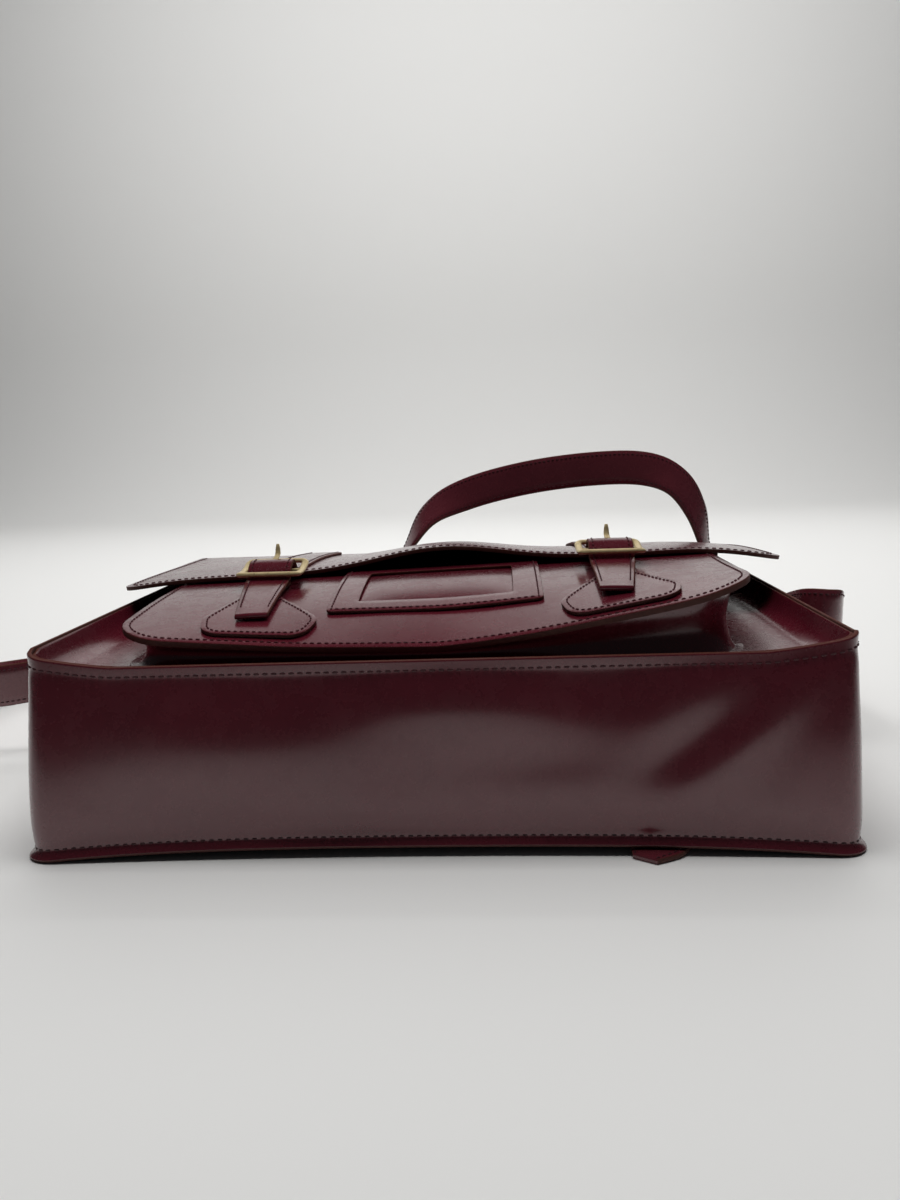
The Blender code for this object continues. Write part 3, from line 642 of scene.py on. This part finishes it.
def build_pocket():
    bm = laid_sheet(pocket_outline(), pocket_face)
    made = leather_sheet("pocket_plate", bm, PLATE, "bag", ["pocket_front"], round_by=0.0007)

    base = FRONT_PANEL_Z + 0.0004
    points = divided(pocket_outline(0.0080), 0.006)
    rows = []
    for point, along in zip(points, directions(points)):
        normal = Vector((-along.y, along.x, 0)).normalized()
        if normal.y > 0.5 or (abs(normal.y) < 0.5 and normal.x * point.x < 0):
            normal = -normal
        roof = pocket_top(point.x, point.y) - PLATE - 0.0008
        foot = Vector((point.x, point.y, base))
        tall = roof - base
        row = [foot + normal * 0.0062, foot + normal * 0.0022]
        for share, out in POCKET_WALL:
            row.append(foot + Vector((0, 0, tall * share)) + normal * out)
        rows.append(row)
    bm = grid_mesh([row[::-1] for row in rows])
    nodes = ["pocket_gusset"]
    made = leather_sheet("pocket_gusset_leather", bm, 0.0014, "bag", nodes, round_by=0.0003)

    bm = laid_sheet(box_outline(*WINDOW_FRAME, 0.003), pocket_top, FRAME_LIFT, windows=[WINDOW])
    nodes = ["name_window_frame"]
    made = leather_sheet("window_frame", bm, 0.0015, "bag", nodes, round_by=0.0004)

    bm = bmesh.new()
    stitch_outline(bm, pocket_outline(0.0035), pocket_face, 0.0)
    x0, y0, x1, y1 = WINDOW_FRAME
    line = [Vector(point) for point in ((x0, y1), (x0, y0), (x1, y0), (x1, y1))]
    line = [Vector((p.x - math.copysign(0.0024, p.x), p.y + 0.0024)) for p in line]
    stitch_outline(bm, line, pocket_top, FRAME_LIFT)
    place_mesh("pocket_stitches", bm, (THREAD,), "bag")


build_pocket()


# The flap: one sheet from the back panel over the top of the bag and down over the pocket.
# Its front corners have curled and its edge stands off the pocket in the middle.
FLAP_HALF, FLAP_CORNER, CREASE_Y, CREASE_Z = 0.194, 0.018, 0.1417, 0.0955
SPINE_Y = CREASE_Y + 0.0011
ROOT_HALF, ROOT_TOP, ROOT_TURN, ROOT_END = 0.191, 0.018, 0.0015, -0.0022
CREASE_RADIUS = 0.0043


def flap_under(x, y):
    """The underside of the closed flap, bulged in the middle."""
    edge = 0.1141 + 0.035 * x + 0.010 * math.exp(-((x / 0.036) ** 2) / 2)
    if x < -0.14:
        edge -= 0.0035 * ((x + 0.14) / 0.05) ** 2
    if x > 0.13:
        edge -= 0.0080 * ((x - 0.13) / 0.06) ** 2
    along = min(max((y - FLAP_EDGE_Y) / (CREASE_Y - FLAP_EDGE_Y), 0.0), 1.0)
    return FLOOR_Z + edge + (CREASE_Z - FLOOR_Z - 0.0005 - edge) * along**1.7


def flap_top(x, y):
    lift = 0.0009 * noise.noise(Vector((x * 11, y * 11, 7.0)))
    return flap_under(x, y) + LEATHER + lift * ramp(0.13, 0.09, y)


def flap_row(half, columns, y, z):
    return [Vector((-half + 2 * half * share, y, z)) for share in columns]


def build_flap():
    corner = FLAP_CORNER
    columns = [0.5 - 0.5 * math.cos(math.pi * k / 72) for k in range(73)]
    columns = [0.6 * share + 0.4 * k / 72 for k, share in enumerate(columns)]
    rows = []
    ys = [FLAP_EDGE_Y + corner * (1 - math.cos(math.pi / 2 * k / 10)) for k in range(11)]
    ys += [ys[-1] + (0.1385 - ys[-1]) * k / 34 for k in range(1, 35)]
    for y in ys:
        into = max(corner - (y - FLAP_EDGE_Y), 0.0)
        wide = FLAP_HALF - corner + math.sqrt(max(corner**2 - into**2, 0.0))
        line = [-wide + 2 * wide * share for share in columns]
        rows.append([Vector((x, y, flap_top(x, y))) for x in line])
    top = FLOOR_Z + 0.101 + LEATHER
    centre_y, centre_z = SPINE_Y - CREASE_RADIUS, top - CREASE_RADIUS
    for step in range(9):
        angle = math.pi / 2 * (1 - step / 8)
        y = centre_y + CREASE_RADIUS * math.cos(angle)
        z = centre_z + CREASE_RADIUS * math.sin(angle)
        rows.append(flap_row(FLAP_HALF, columns, y, z))
    for step in range(1, 15):
        z = centre_z + (ROOT_TOP - centre_z) * step / 14
        half = FLAP_HALF - (FLAP_HALF - ROOT_HALF) * ramp(0.0, 0.3, step / 14)
        rows.append(flap_row(half, columns, SPINE_Y, z))
    bm = grid_mesh(rows)
    made = leather_sheet("flap", bm, LEATHER, None, ["flap_front"], round_by=0.0006)
    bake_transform(made)

    rows = []
    for step in range(9):
        z = ROOT_TOP + (ROOT_TURN - ROOT_TOP) * step / 8
        rows.append(flap_row(ROOT_HALF, columns, SPINE_Y, z))
    for step in range(1, 9):
        angle = math.pi / 2 * step / 8
        y, z = SPINE_Y - 0.004 * (1 - math.cos(angle)), ROOT_TURN - 0.0035 * math.sin(angle)
        rows.append(flap_row(ROOT_HALF, columns, y, z))
    rows.append(flap_row(ROOT_HALF, columns, 0.128, ROOT_END))
    bm = grid_mesh(rows)
    made = leather_sheet("flap_root", bm, LEATHER, None, ["flap_spine"], round_by=0.0005)
    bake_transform(made)

    inset = 0.0045
    line = rounded(
        [
            (-FLAP_HALF + inset, 0.136, 0),
            (-FLAP_HALF + inset, FLAP_EDGE_Y + inset, corner - inset),
            (FLAP_HALF - inset, FLAP_EDGE_Y + inset, corner - inset),
            (FLAP_HALF - inset, 0.136, 0),
        ]
    )
    bm = bmesh.new()
    stitch_outline(bm, line, flap_top, 0.0, pitch=0.0040)
    place_mesh("flap_stitches", bm, (THREAD,), "flap_front")


build_flap()


# The two closures. Each has a bell-shaped patch sewn on the pocket, a brass buckle held to it
# by a folded loop, and a double-stitched strap sewn along the flap that runs through the buckle.
STRAP_WIDTH, STRAP_THICK, PATCH_THICK = 0.0245, 0.0020, 0.0016
BUCKLE_Y = -0.0370
BUCKLE_WIDTH, BUCKLE_LENGTH, BUCKLE_METAL, BUCKLE_RAIL = 0.0365, 0.0300, 0.0028, 0.0040
TAIL_LENGTH, TAIL_TAPER, TAIL_LEAN = 0.056, 0.34, 0.005
# side: (x of the buckle, height of its bar, rise from near to far bar, x of the patch's skirt)
BUCKLES = {"left": (-0.0955, 0.1110, 0.0045, -0.0870), "right": (0.0920, 0.1180, 0.0026, 0.0890)}


PATCH_LIFT = 0.0006 + PATCH_THICK
ACROSS = Vector((1, 0, 0))


def brass_material():
    """Worn yellow brass: polished, with fine scratches and a brown film in patches."""
    material, tree, shader = plain("brass", (0.55, 0.42, 0.22), 0.25, metal=0.5)
    place = new_node(tree, "ShaderNodeTexCoord")
    film = noise_node(tree, place, 260.0, 5.0, 0.65)
    fine = noise_node(tree, place, 3200.0, 2.0)
    browned, polished = (0.52, 0.38, 0.18, 1.0), (0.90, 0.74, 0.43, 1.0)
    tone_between(tree, film.outputs["Fac"], browned, polished, shader)
    rough = new_node(tree, "ShaderNodeMapRange")
    rough.inputs["To Min"].default_value = 0.18
    rough.inputs["To Max"].default_value = 0.45
    link(tree, film, "Fac", rough, "Value")
    link(tree, rough, "Result", shader, "Roughness")
    bump = bump_node(tree, fine, "Fac", 0.12, 0.0001)
    link(tree, bump, "Normal", shader, "Normal")
    return material


BRASS = brass_material()
STRAP_TONE, STRAP_TONE_FAR = (0.082, 0.0120, 0.0190, 1.0), (0.110, 0.0190, 0.0270, 1.0)
STRAP_HIDE = hide_material("strap_hide", STRAP_TONE, STRAP_TONE_FAR, 0.8)


def sweep(bm, points, ups, section, closed=False, widths=None):
    """Runs a closed section of (across, up) points along a line; ups give the up direction."""
    rings = []
    if closed:
        runs = [points[(k + 1) % len(points)] - points[k - 1] for k in range(len(points))]
    else:
        runs = directions(points)
    for index, (place, along) in enumerate(zip(points, runs)):
        along = along.normalized()
        up = ups[index] if isinstance(ups, list) else Vector(ups)
        up = (up - along * up.dot(along)).normalized()
        across = along.cross(up)
        scale = widths[index] if widths else 1.0
        rings.append([bm.verts.new(place + across * a * scale + up * b) for a, b in section])
    made = []
    count = len(section)
    pairs = list(zip(rings, rings[1:])) + ([(rings[-1], rings[0])] if closed else [])
    for here, there in pairs:
        for side in range(count):
            nxt = (side + 1) % count
            made.append((side, bm.faces.new((here[side], there[side], there[nxt], here[nxt]))))
    if not closed:
        bm.faces.new(rings[0])
        bm.faces.new(rings[-1][::-1])
    return made


def oval(wide, tall, count=12):
    turns = [2 * math.pi * k / count for k in range(count)]
    return [(wide / 2 * math.cos(turn), tall / 2 * math.sin(turn)) for turn in turns]


def band_section(width, thick, edge=0.0007):
    """A flat strap's section, its edges rounded, and the numbers of the sides that are raw edge."""
    half, t = width / 2, thick / 2
    top = [(-half + edge, t), (-half * 0.5, t * 1.12), (0, t * 1.15)]
    top += [(half * 0.5, t * 1.12), (half - edge, t)]
    side = [(half - edge * 0.3, t * 0.7), (half, 0), (half - edge * 0.3, -t * 0.7)]
    section = top + side + [(x, -z) for x, z in reversed(top)] + [(-x, z) for x, z in reversed(side)]
    raw = set(range(4, 8)) | set(range(12, 16))
    return section, raw


def strap_mesh(bm, points, ups, width, thick, widths=None):
    section, raw = band_section(width, thick)
    for side, face in sweep(bm, points, ups, section, widths=widths):
        face.material_index = 1 if side in raw else 0


def smooth_line(points, pieces):
    """Points along a smooth curve through the given ones, pieces to each stretch."""
    route = []
    for index in range(len(points) - 1):
        p0, p1 = points[max(index - 1, 0)], points[index]
        p2, p3 = points[index + 1], points[min(index + 2, len(points) - 1)]
        for step in range(pieces):
            t = step / pieces
            curve = 2 * p1 + (p2 - p0) * t + (2 * p0 - 5 * p1 + 4 * p2 - p3) * t**2
            route.append(0.5 * (curve + (3 * p1 - p0 - 3 * p2 + p3) * t**3))
    route.append(points[-1])
    return route


def outline_3d(outline, height):
    return [Vector((p.x, p.y, height(p.x, p.y))) for p in outline]


def buckle_frame_mesh(x, y, width, length, rail, metal, height):
    """A rounded brass rectangle of half-round rod, a little wider than it is thick, and its bar."""
    bm = bmesh.new()
    hw, hl = width / 2 - rail / 2, length / 2 - rail / 2
    outline = box_outline(x - hw, y - hl, x + hw, y + hl, 0.0028, 5)
    line = divided(outline + outline[:1], 0.004)[:-1]
    sweep(bm, outline_3d(line, height), (0, 0, 1), oval(rail, metal, 14), closed=True)
    bar = [Vector((x - hw + 2 * hw * k / 6, y, height(x, y))) for k in range(7)]
    sweep(bm, bar, (0, 0, 1), oval(0.0028, 0.0024, 10))
    return bm


def arc_line(centre, radius, start, end, steps):
    points = []
    for step in range(steps + 1):
        angle = math.radians(start + (end - start) * step / steps)
        x, y = centre.x + radius * math.cos(angle), centre.y + radius * math.sin(angle)
        points.append(Vector((x, y)))
    return points


def prong_mesh(x, line):
    bm = bmesh.new()
    points = [Vector((x, p.x, p.y)) for p in line]
    ups = [ACROSS.cross(along).normalized() for along in directions(points)]
    sizes = [1.0] * (len(points) - 2) + [0.85, 0.55]
    sweep(bm, points, ups, oval(0.0032, 0.0021, 10), widths=sizes)
    return bm


def bell_outline(x, skirt, top, inset=0.0):
    """A narrow neck at the buckle and a wide round skirt below."""
    half, neck, foot = 0.029 - inset, 0.0105 - inset, -0.1205 + inset
    return rounded(
        [
            (x - neck, top, 0),
            (x - neck, top - 0.030, 0.020),
            (skirt - half, -0.102, 0.010),
            (skirt - half + 0.004, foot, 0.011 - inset),
            (skirt + half - 0.004, foot, 0.011 - inset),
            (skirt + half, -0.102, 0.010),
            (x + neck, top - 0.030, 0.020),
            (x + neck, top, 0),
        ]
    )


def closure_line(x, bar_z):
    """The strap's middle line, seen from the side: along the flap and through the buckle."""
    bar = Vector((BUCKLE_Y, bar_z))
    far_y = 0.118
    line = []
    for k in range(37):
        y = far_y + (FLAP_EDGE_Y - far_y) * k / 36
        line.append(Vector((y, flap_top(x, y) + STRAP_THICK / 2 + 0.0001)))
    weave = [(0.0125, -0.0014), (0.0095, -0.0008), (0.0060, 0.0022), (0.0030, 0.0049)]
    weave += [(-0.0010, 0.0050), (-0.0052, 0.0034), (-0.0090, 0.0000), (-0.0108, -0.0034)]
    points = [line[-2], line[-1]] + [bar + Vector(place) for place in weave]
    near_y, near_z = BUCKLE_Y - BUCKLE_LENGTH / 2 + BUCKLE_RAIL / 2, bar_z - 0.0040
    points.append(Vector((near_y, near_z)))
    for step in range(1, 5):
        y = near_y - TAIL_LENGTH * step / 4
        rest = pocket_top(x, y) + PATCH_LIFT + STRAP_THICK / 2
        points.append(Vector((y, max(rest + 0.0012, near_z - 0.0030 - 0.0024 * step))))
    return line[:-2] + smooth_line(points, 4)


def nearest(places, normals):
    """A function that gives the normal of the nearest of these places."""
    table = list(zip(places, normals))
    return lambda place: min(table, key=lambda item: (item[0] - place).length_squared)[1]


def build_closure(side):
    x, bar_z, rise, skirt = BUCKLES[side]
    half_length = BUCKLE_LENGTH / 2

    patch_top = BUCKLE_Y - 0.004
    bm = laid_sheet(bell_outline(x, skirt, patch_top), pocket_top, PATCH_LIFT, cell=0.0035)
    nodes = [side + "_buckle_patch"]
    made = leather_sheet(side + "_patch", bm, PATCH_THICK, "bag", nodes, round_by=0.0004)
    bm = bmesh.new()
    line = bell_outline(x, skirt, patch_top, 0.0026)
    stitch_outline(bm, line, pocket_top, PATCH_LIFT, pitch=0.0030)
    place_mesh(side + "_patch_stitches", bm, (THREAD,), "bag")

    def height(_, y):
        along = (y - BUCKLE_Y) / half_length
        return bar_z + rise * along / 2 + 0.0025 * along**2

    bm = buckle_frame_mesh(x, BUCKLE_Y, BUCKLE_WIDTH, BUCKLE_LENGTH, BUCKLE_RAIL, BUCKLE_METAL, height)
    made = place_mesh(side + "_buckle", bm, (BRASS,), side + "_buckle", [side + "_buckle_frame"])

    bar = Vector((BUCKLE_Y, bar_z))
    far_top = height(0, BUCKLE_Y + half_length - 0.002) + BUCKLE_METAL / 2 + 0.0013
    pin = arc_line(bar, 0.0034, -150, 65, 12)
    pin.append(Vector((BUCKLE_Y + 0.0065, bar_z + 0.0056)))
    for short, lift in ((0.0045, 0.0), (0.0015, 0.0014), (0.0006, 0.0045), (0.0003, 0.0070)):
        pin.append(Vector((BUCKLE_Y + half_length - short, far_top + lift)))
    body = side + "_prong"
    made = place_mesh(side + "_buckle_prong", prong_mesh(x, pin), (BRASS,), body, [body])

    foot_y = BUCKLE_Y - 0.0082
    foot_z = pocket_top(x, foot_y) + PATCH_LIFT + 0.0014
    fold = [Vector((foot_y, foot_z))] + arc_line(bar, 0.0029, 240, 500, 16)
    fold += [bar + Vector((-0.0055, -0.0012)), Vector((foot_y + 0.0002, foot_z + 0.0017))]
    bm = bmesh.new()
    for lane in (-1, 1):
        points = [Vector((x + lane * 0.0058, p.x, p.y)) for p in fold]
        ups = [ACROSS.cross(along).normalized() for along in directions(points)]
        strap_mesh(bm, points, ups, 0.0064, 0.0013)
    made = place_mesh(side + "_chape_leather", bm, (HIDE, RAW_EDGE), "bag", [side + "_chape"])

    points = [Vector((x, p.x, p.y)) for p in closure_line(x, bar_z)]
    ups = [along.cross(ACROSS).normalized() for along in directions(points)]
    near_y = BUCKLE_Y - BUCKLE_LENGTH / 2 + BUCKLE_RAIL / 2
    shares = [min(max((near_y - place.y) / TAIL_LENGTH, 0.0), 1.0) for place in points]
    widths = [1.0 - TAIL_TAPER * share for share in shares]
    for place, share in zip(points, shares):
        place.x += math.copysign(TAIL_LEAN * share, -x)
    bm = bmesh.new()
    strap_mesh(bm, points, ups, STRAP_WIDTH, STRAP_THICK, widths=widths)
    nodes = [side + "_closure_strap", side + "_strap_tail"]
    made = place_mesh(side + "_strap", bm, (HIDE, RAW_EDGE), "flap_front", nodes)
    bm = bmesh.new()
    for lane in (-1, 1):
        row = []
        for place, up, wide in zip(points, ups, widths):
            aside = Vector((lane * wide * (STRAP_WIDTH / 2 - 0.0026), 0, 0))
            row.append(place + up * STRAP_THICK * 0.52 + aside)
        stitch_row(bm, row[:-3], nearest(row, ups), pitch=0.0031, radius=0.00034)
    place_mesh(side + "_strap_stitches", bm, (THREAD,), "flap_front")


for strap_side in BUCKLES:
    build_closure(strap_side)


# At each side a leather tab is sewn to the wall and folded round the straight bar of a ring.
RING_Y, RING_Z = 0.112, 0.042
TAB_FOLD = 0.0027


def build_side_hardware(side, sign):
    wall = sign * (HALF + 0.0010)
    bar = Vector((wall + sign * 0.0045, RING_Y))
    line = [Vector((wall, RING_Y + ahead_y)) for ahead_y in (0.024, 0.014, 0.004)]
    for step in range(13):
        angle = math.radians(180 + 200 * step / 12)
        reach, rise = TAB_FOLD * math.cos(angle), TAB_FOLD * math.sin(angle)
        line.append(Vector((bar.x + sign * reach, RING_Y + rise)))
    for off, ahead_y in ((0.0030, 0.007), (0.0019, 0.014), (0.0019, 0.0235)):
        line.append(Vector((wall + sign * off, RING_Y + ahead_y)))
    points = [Vector((p.x, p.y, RING_Z)) for p in line]
    ups = [along.cross(Vector((0, 0, 1))).normalized() for along in directions(points)]
    bm = bmesh.new()
    strap_mesh(bm, points, ups, 0.025, 0.0015)
    made = place_mesh(side + "_tab", bm, (STRAP_HIDE, RAW_EDGE), "bag", [side + "_strap_tab"])

    turn = Matrix.Rotation(sign * math.radians(18), 3, "Z")
    loop = box_outline(-0.019, -0.0155, 0, 0.0155, 0.004, 6)
    points = [Vector((bar.x, bar.y, RING_Z)) + turn @ Vector((0, p.x, p.y)) for p in loop]
    bm = bmesh.new()
    sweep(bm, points, turn @ Vector((1, 0, 0)), oval(0.0032, 0.0032, 12), closed=True)
    made = place_mesh(side + "_strap_ring", bm, (BRASS,), side + "_ring", [side + "_ring"])


build_side_hardware("left", -1)
build_side_hardware("right", 1)


# The shoulder strap: a long piece that lies behind the bag and springs up in an arch, and a
# short piece that loops forward beside it; both end on the rings, joined by a buckle.
SHOULDER_WIDTH, SHOULDER_THICK = 0.026, 0.0024
UPRIGHT = (0, 0, 1)
LONG_ROUTE = [
    ((-0.2105, 0.0880, 0.042), UPRIGHT),
    ((-0.2200, 0.0500, 0.043), UPRIGHT),
    ((-0.2380, 0.0150, 0.042), (0.05, 0, 1)),
    ((-0.2750, -0.0050, 0.039), (0.05, 0, 1)),
    ((-0.3150, 0.0100, 0.033), (0.05, 0, 1)),
    ((-0.3400, 0.0550, 0.023), (0.1, 0.1, 1)),
    ((-0.3300, 0.1150, 0.014), (0, 0.1, 1)),
    ((-0.2850, 0.1650, 0.010), (0, 0.1, 1)),
    ((-0.2150, 0.1950, 0.011), (0, 0.2, 1)),
    ((-0.1450, 0.2080, 0.020), (-0.2, 0.5, 0.9)),
    ((-0.0850, 0.2100, 0.046), (-0.3, 1.0, 0.3)),
    ((-0.0500, 0.2050, 0.084), (-0.2, 1.0, 0.0)),
    ((-0.0250, 0.1980, 0.120), (-0.5, 0.8, 0.35)),
    ((0.0080, 0.1900, 0.137), (-0.4, 0.35, 0.85)),
    ((0.0550, 0.1830, 0.1485), (-0.2, 0.15, 1)),
    ((0.1050, 0.1780, 0.1540), (-0.05, 0.1, 1)),
    ((0.1450, 0.1750, 0.1530), (0.25, 0.15, 1)),
    ((0.1700, 0.1760, 0.1420), (0.8, 0.5, 0.5)),
    ((0.1860, 0.1800, 0.1190), (0.7, 0.7, 0.2)),
    ((0.1950, 0.1850, 0.0890), (0.4, 0.9, 0.1)),
    ((0.2040, 0.1880, 0.0600), (0.2, 0.8, 0.5)),
    ((0.2150, 0.1800, 0.0390), (0, 0.3, 1)),
    ((0.2290, 0.1610, 0.0340), UPRIGHT),
]
TAIL_ROUTE = [
    ((0.2442, 0.1270, 0.0338), UPRIGHT),
    ((0.2468, 0.1000, 0.0320), UPRIGHT),
    ((0.2480, 0.0730, 0.0210), (-0.15, 0.1, 1)),
    ((0.2380, 0.0480, 0.0100), (-0.6, 0.4, 0.7)),
    ((0.2120, 0.0240, -0.0018), (-0.75, 0.66, 0.15)),
    ((0.1880, -0.0060, -0.0044), (-0.75, 0.66, 0)),
    ((0.1620, -0.0500, -0.0044), (-0.8, 0.6, 0)),
    ((0.1350, -0.0950, -0.0044), (-0.8, 0.6, 0)),
    ((0.1100, -0.1320, -0.0044), (-0.8, 0.6, 0)),
    ((0.0970, -0.1510, -0.0044), (-0.8, 0.6, 0)),
    ((0.0925, -0.1580, -0.0044), (-0.8, 0.6, 0)),
]
SHORT_ROUTE = [
    ((0.2045, 0.0870, 0.046), UPRIGHT),
    ((0.2070, 0.0600, 0.054), (0.05, 0, 1)),
    ((0.2080, 0.0280, 0.066), (0.1, 0, 1)),
    ((0.2120, 0.0050, 0.073), (0.1, 0, 1)),
    ((0.2220, -0.0040, 0.074), (0.1, 0.1, 1)),
    ((0.2340, 0.0060, 0.071), (0.05, 0.1, 1)),
    ((0.2400, 0.0350, 0.060), UPRIGHT),
    ((0.2410, 0.0700, 0.046), UPRIGHT),
    ((0.2405, 0.1000, 0.035), UPRIGHT),
    ((0.2385, 0.1275, 0.034), UPRIGHT),
]


def build_ribbon(name, route, node, point=0.0, loop_at=None):
    """A strap along a route; point narrows its tip, and loop_at turns its start to a ring."""
    places = smooth_line([Vector(place) for place, _ in route], 8)
    sides = smooth_line([Vector(across) for _, across in route], 8)
    if loop_at:
        turned = (Vector(loop_at) - places[0]).normalized()
        places = [places[0] + turned * 0.004] + places
        sides = [sides[0]] + sides
    runs = directions(places)
    ups = [along.cross(side).normalized() for along, side in zip(runs, sides)]
    tip = 0.014
    widths = []
    for place in places:
        away = (place - places[-1]).length
        narrowed = point * (1 - away / tip) ** 1.3 if point and away <= tip else 0.0
        widths.append(1.0 - narrowed)
    bm = bmesh.new()
    strap_mesh(bm, places, ups, SHOULDER_WIDTH, SHOULDER_THICK, widths=widths)
    plain_faces = len(bm.faces)
    for lane in (-1, 1):
        for face_side in (-1, 1):
            row = []
            for place, along, up, wide in zip(places, runs, ups, widths):
                across = along.cross(up).normalized() * (SHOULDER_WIDTH / 2 - 0.0028) * wide
                row.append(place + across * lane + up * face_side * SHOULDER_THICK * 0.53)
            facing = nearest(row, [up * face_side for up in ups])
            stitch_row(bm, row, facing, pitch=0.0034, radius=0.00034)
    bm.faces.ensure_lookup_table()
    for face in bm.faces[plain_faces:]:
        face.material_index = 2
    made = place_mesh(name, bm, (STRAP_HIDE, RAW_EDGE, THREAD), "bag", [node])
    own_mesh(made)


left_ring, right_ring = (-0.2012, 0.0945, RING_Z), (0.2012, 0.0945, RING_Z)
build_ribbon("shoulder_strap_long", LONG_ROUTE, "shoulder_strap", loop_at=left_ring)
build_ribbon("shoulder_strap_end", TAIL_ROUTE, "shoulder_strap_tail", point=0.55)
build_ribbon("shoulder_strap_loop", SHORT_ROUTE, "shoulder_strap_short", loop_at=right_ring)


def stand_up(along, across):
    along, across = Vector(along).normalized(), Vector(across).normalized()
    return Matrix((across, along, across.cross(along))).transposed().to_4x4()


def build_strap_buckle():
    turn = Matrix.Translation((0.2345, 0.1442, 0.0340)) @ stand_up((0.28, -0.96, 0.0), UPRIGHT)
    bm = buckle_frame_mesh(0, 0, 0.038, 0.030, 0.0036, BUCKLE_METAL, lambda x, y: 0.0)
    bmesh.ops.transform(bm, matrix=turn, verts=bm.verts)
    made = place_mesh("strap_buckle", bm, (BRASS,), "shoulder_buckle", ["shoulder_buckle_frame"])
    pin = arc_line(Vector((0, 0)), 0.0034, -40, -275, 12)
    pin += [Vector((0.0075, 0.0042)), Vector((0.0175, 0.0030))]
    bm = prong_mesh(0, pin)
    bmesh.ops.transform(bm, matrix=turn @ Matrix.Rotation(math.pi, 4, "Z"), verts=bm.verts)
    made = place_mesh("strap_buckle_prong", bm, (BRASS,), "shoulder_prong", ["shoulder_prong"])

    # The keeper: a leather band folded round both layers of the strap.
    turn = Matrix.Translation((0.2402, 0.1080, 0.0340)) @ stand_up((1.0, 0.07, 0.0), UPRIGHT)
    loop = outline_3d(box_outline(-0.0163, -0.0038, 0.0159, 0.0097, 0.002, 5), lambda x, y: 0.0)
    bm = bmesh.new()
    section, raw = band_section(0.008, 0.0017, 0.0005)
    section = [(b, a) for a, b in section]
    for side, face in sweep(bm, loop, (0, 0, 1), section, closed=True):
        face.material_index = 1 if side in raw else 0
    bmesh.ops.transform(bm, matrix=turn, verts=bm.verts)
    bmesh.ops.recalc_face_normals(bm, faces=bm.faces)
    made = place_mesh("strap_keeper_loop", bm, (STRAP_HIDE, RAW_EDGE), "strap_keeper", ["strap_keeper"])


build_strap_buckle()
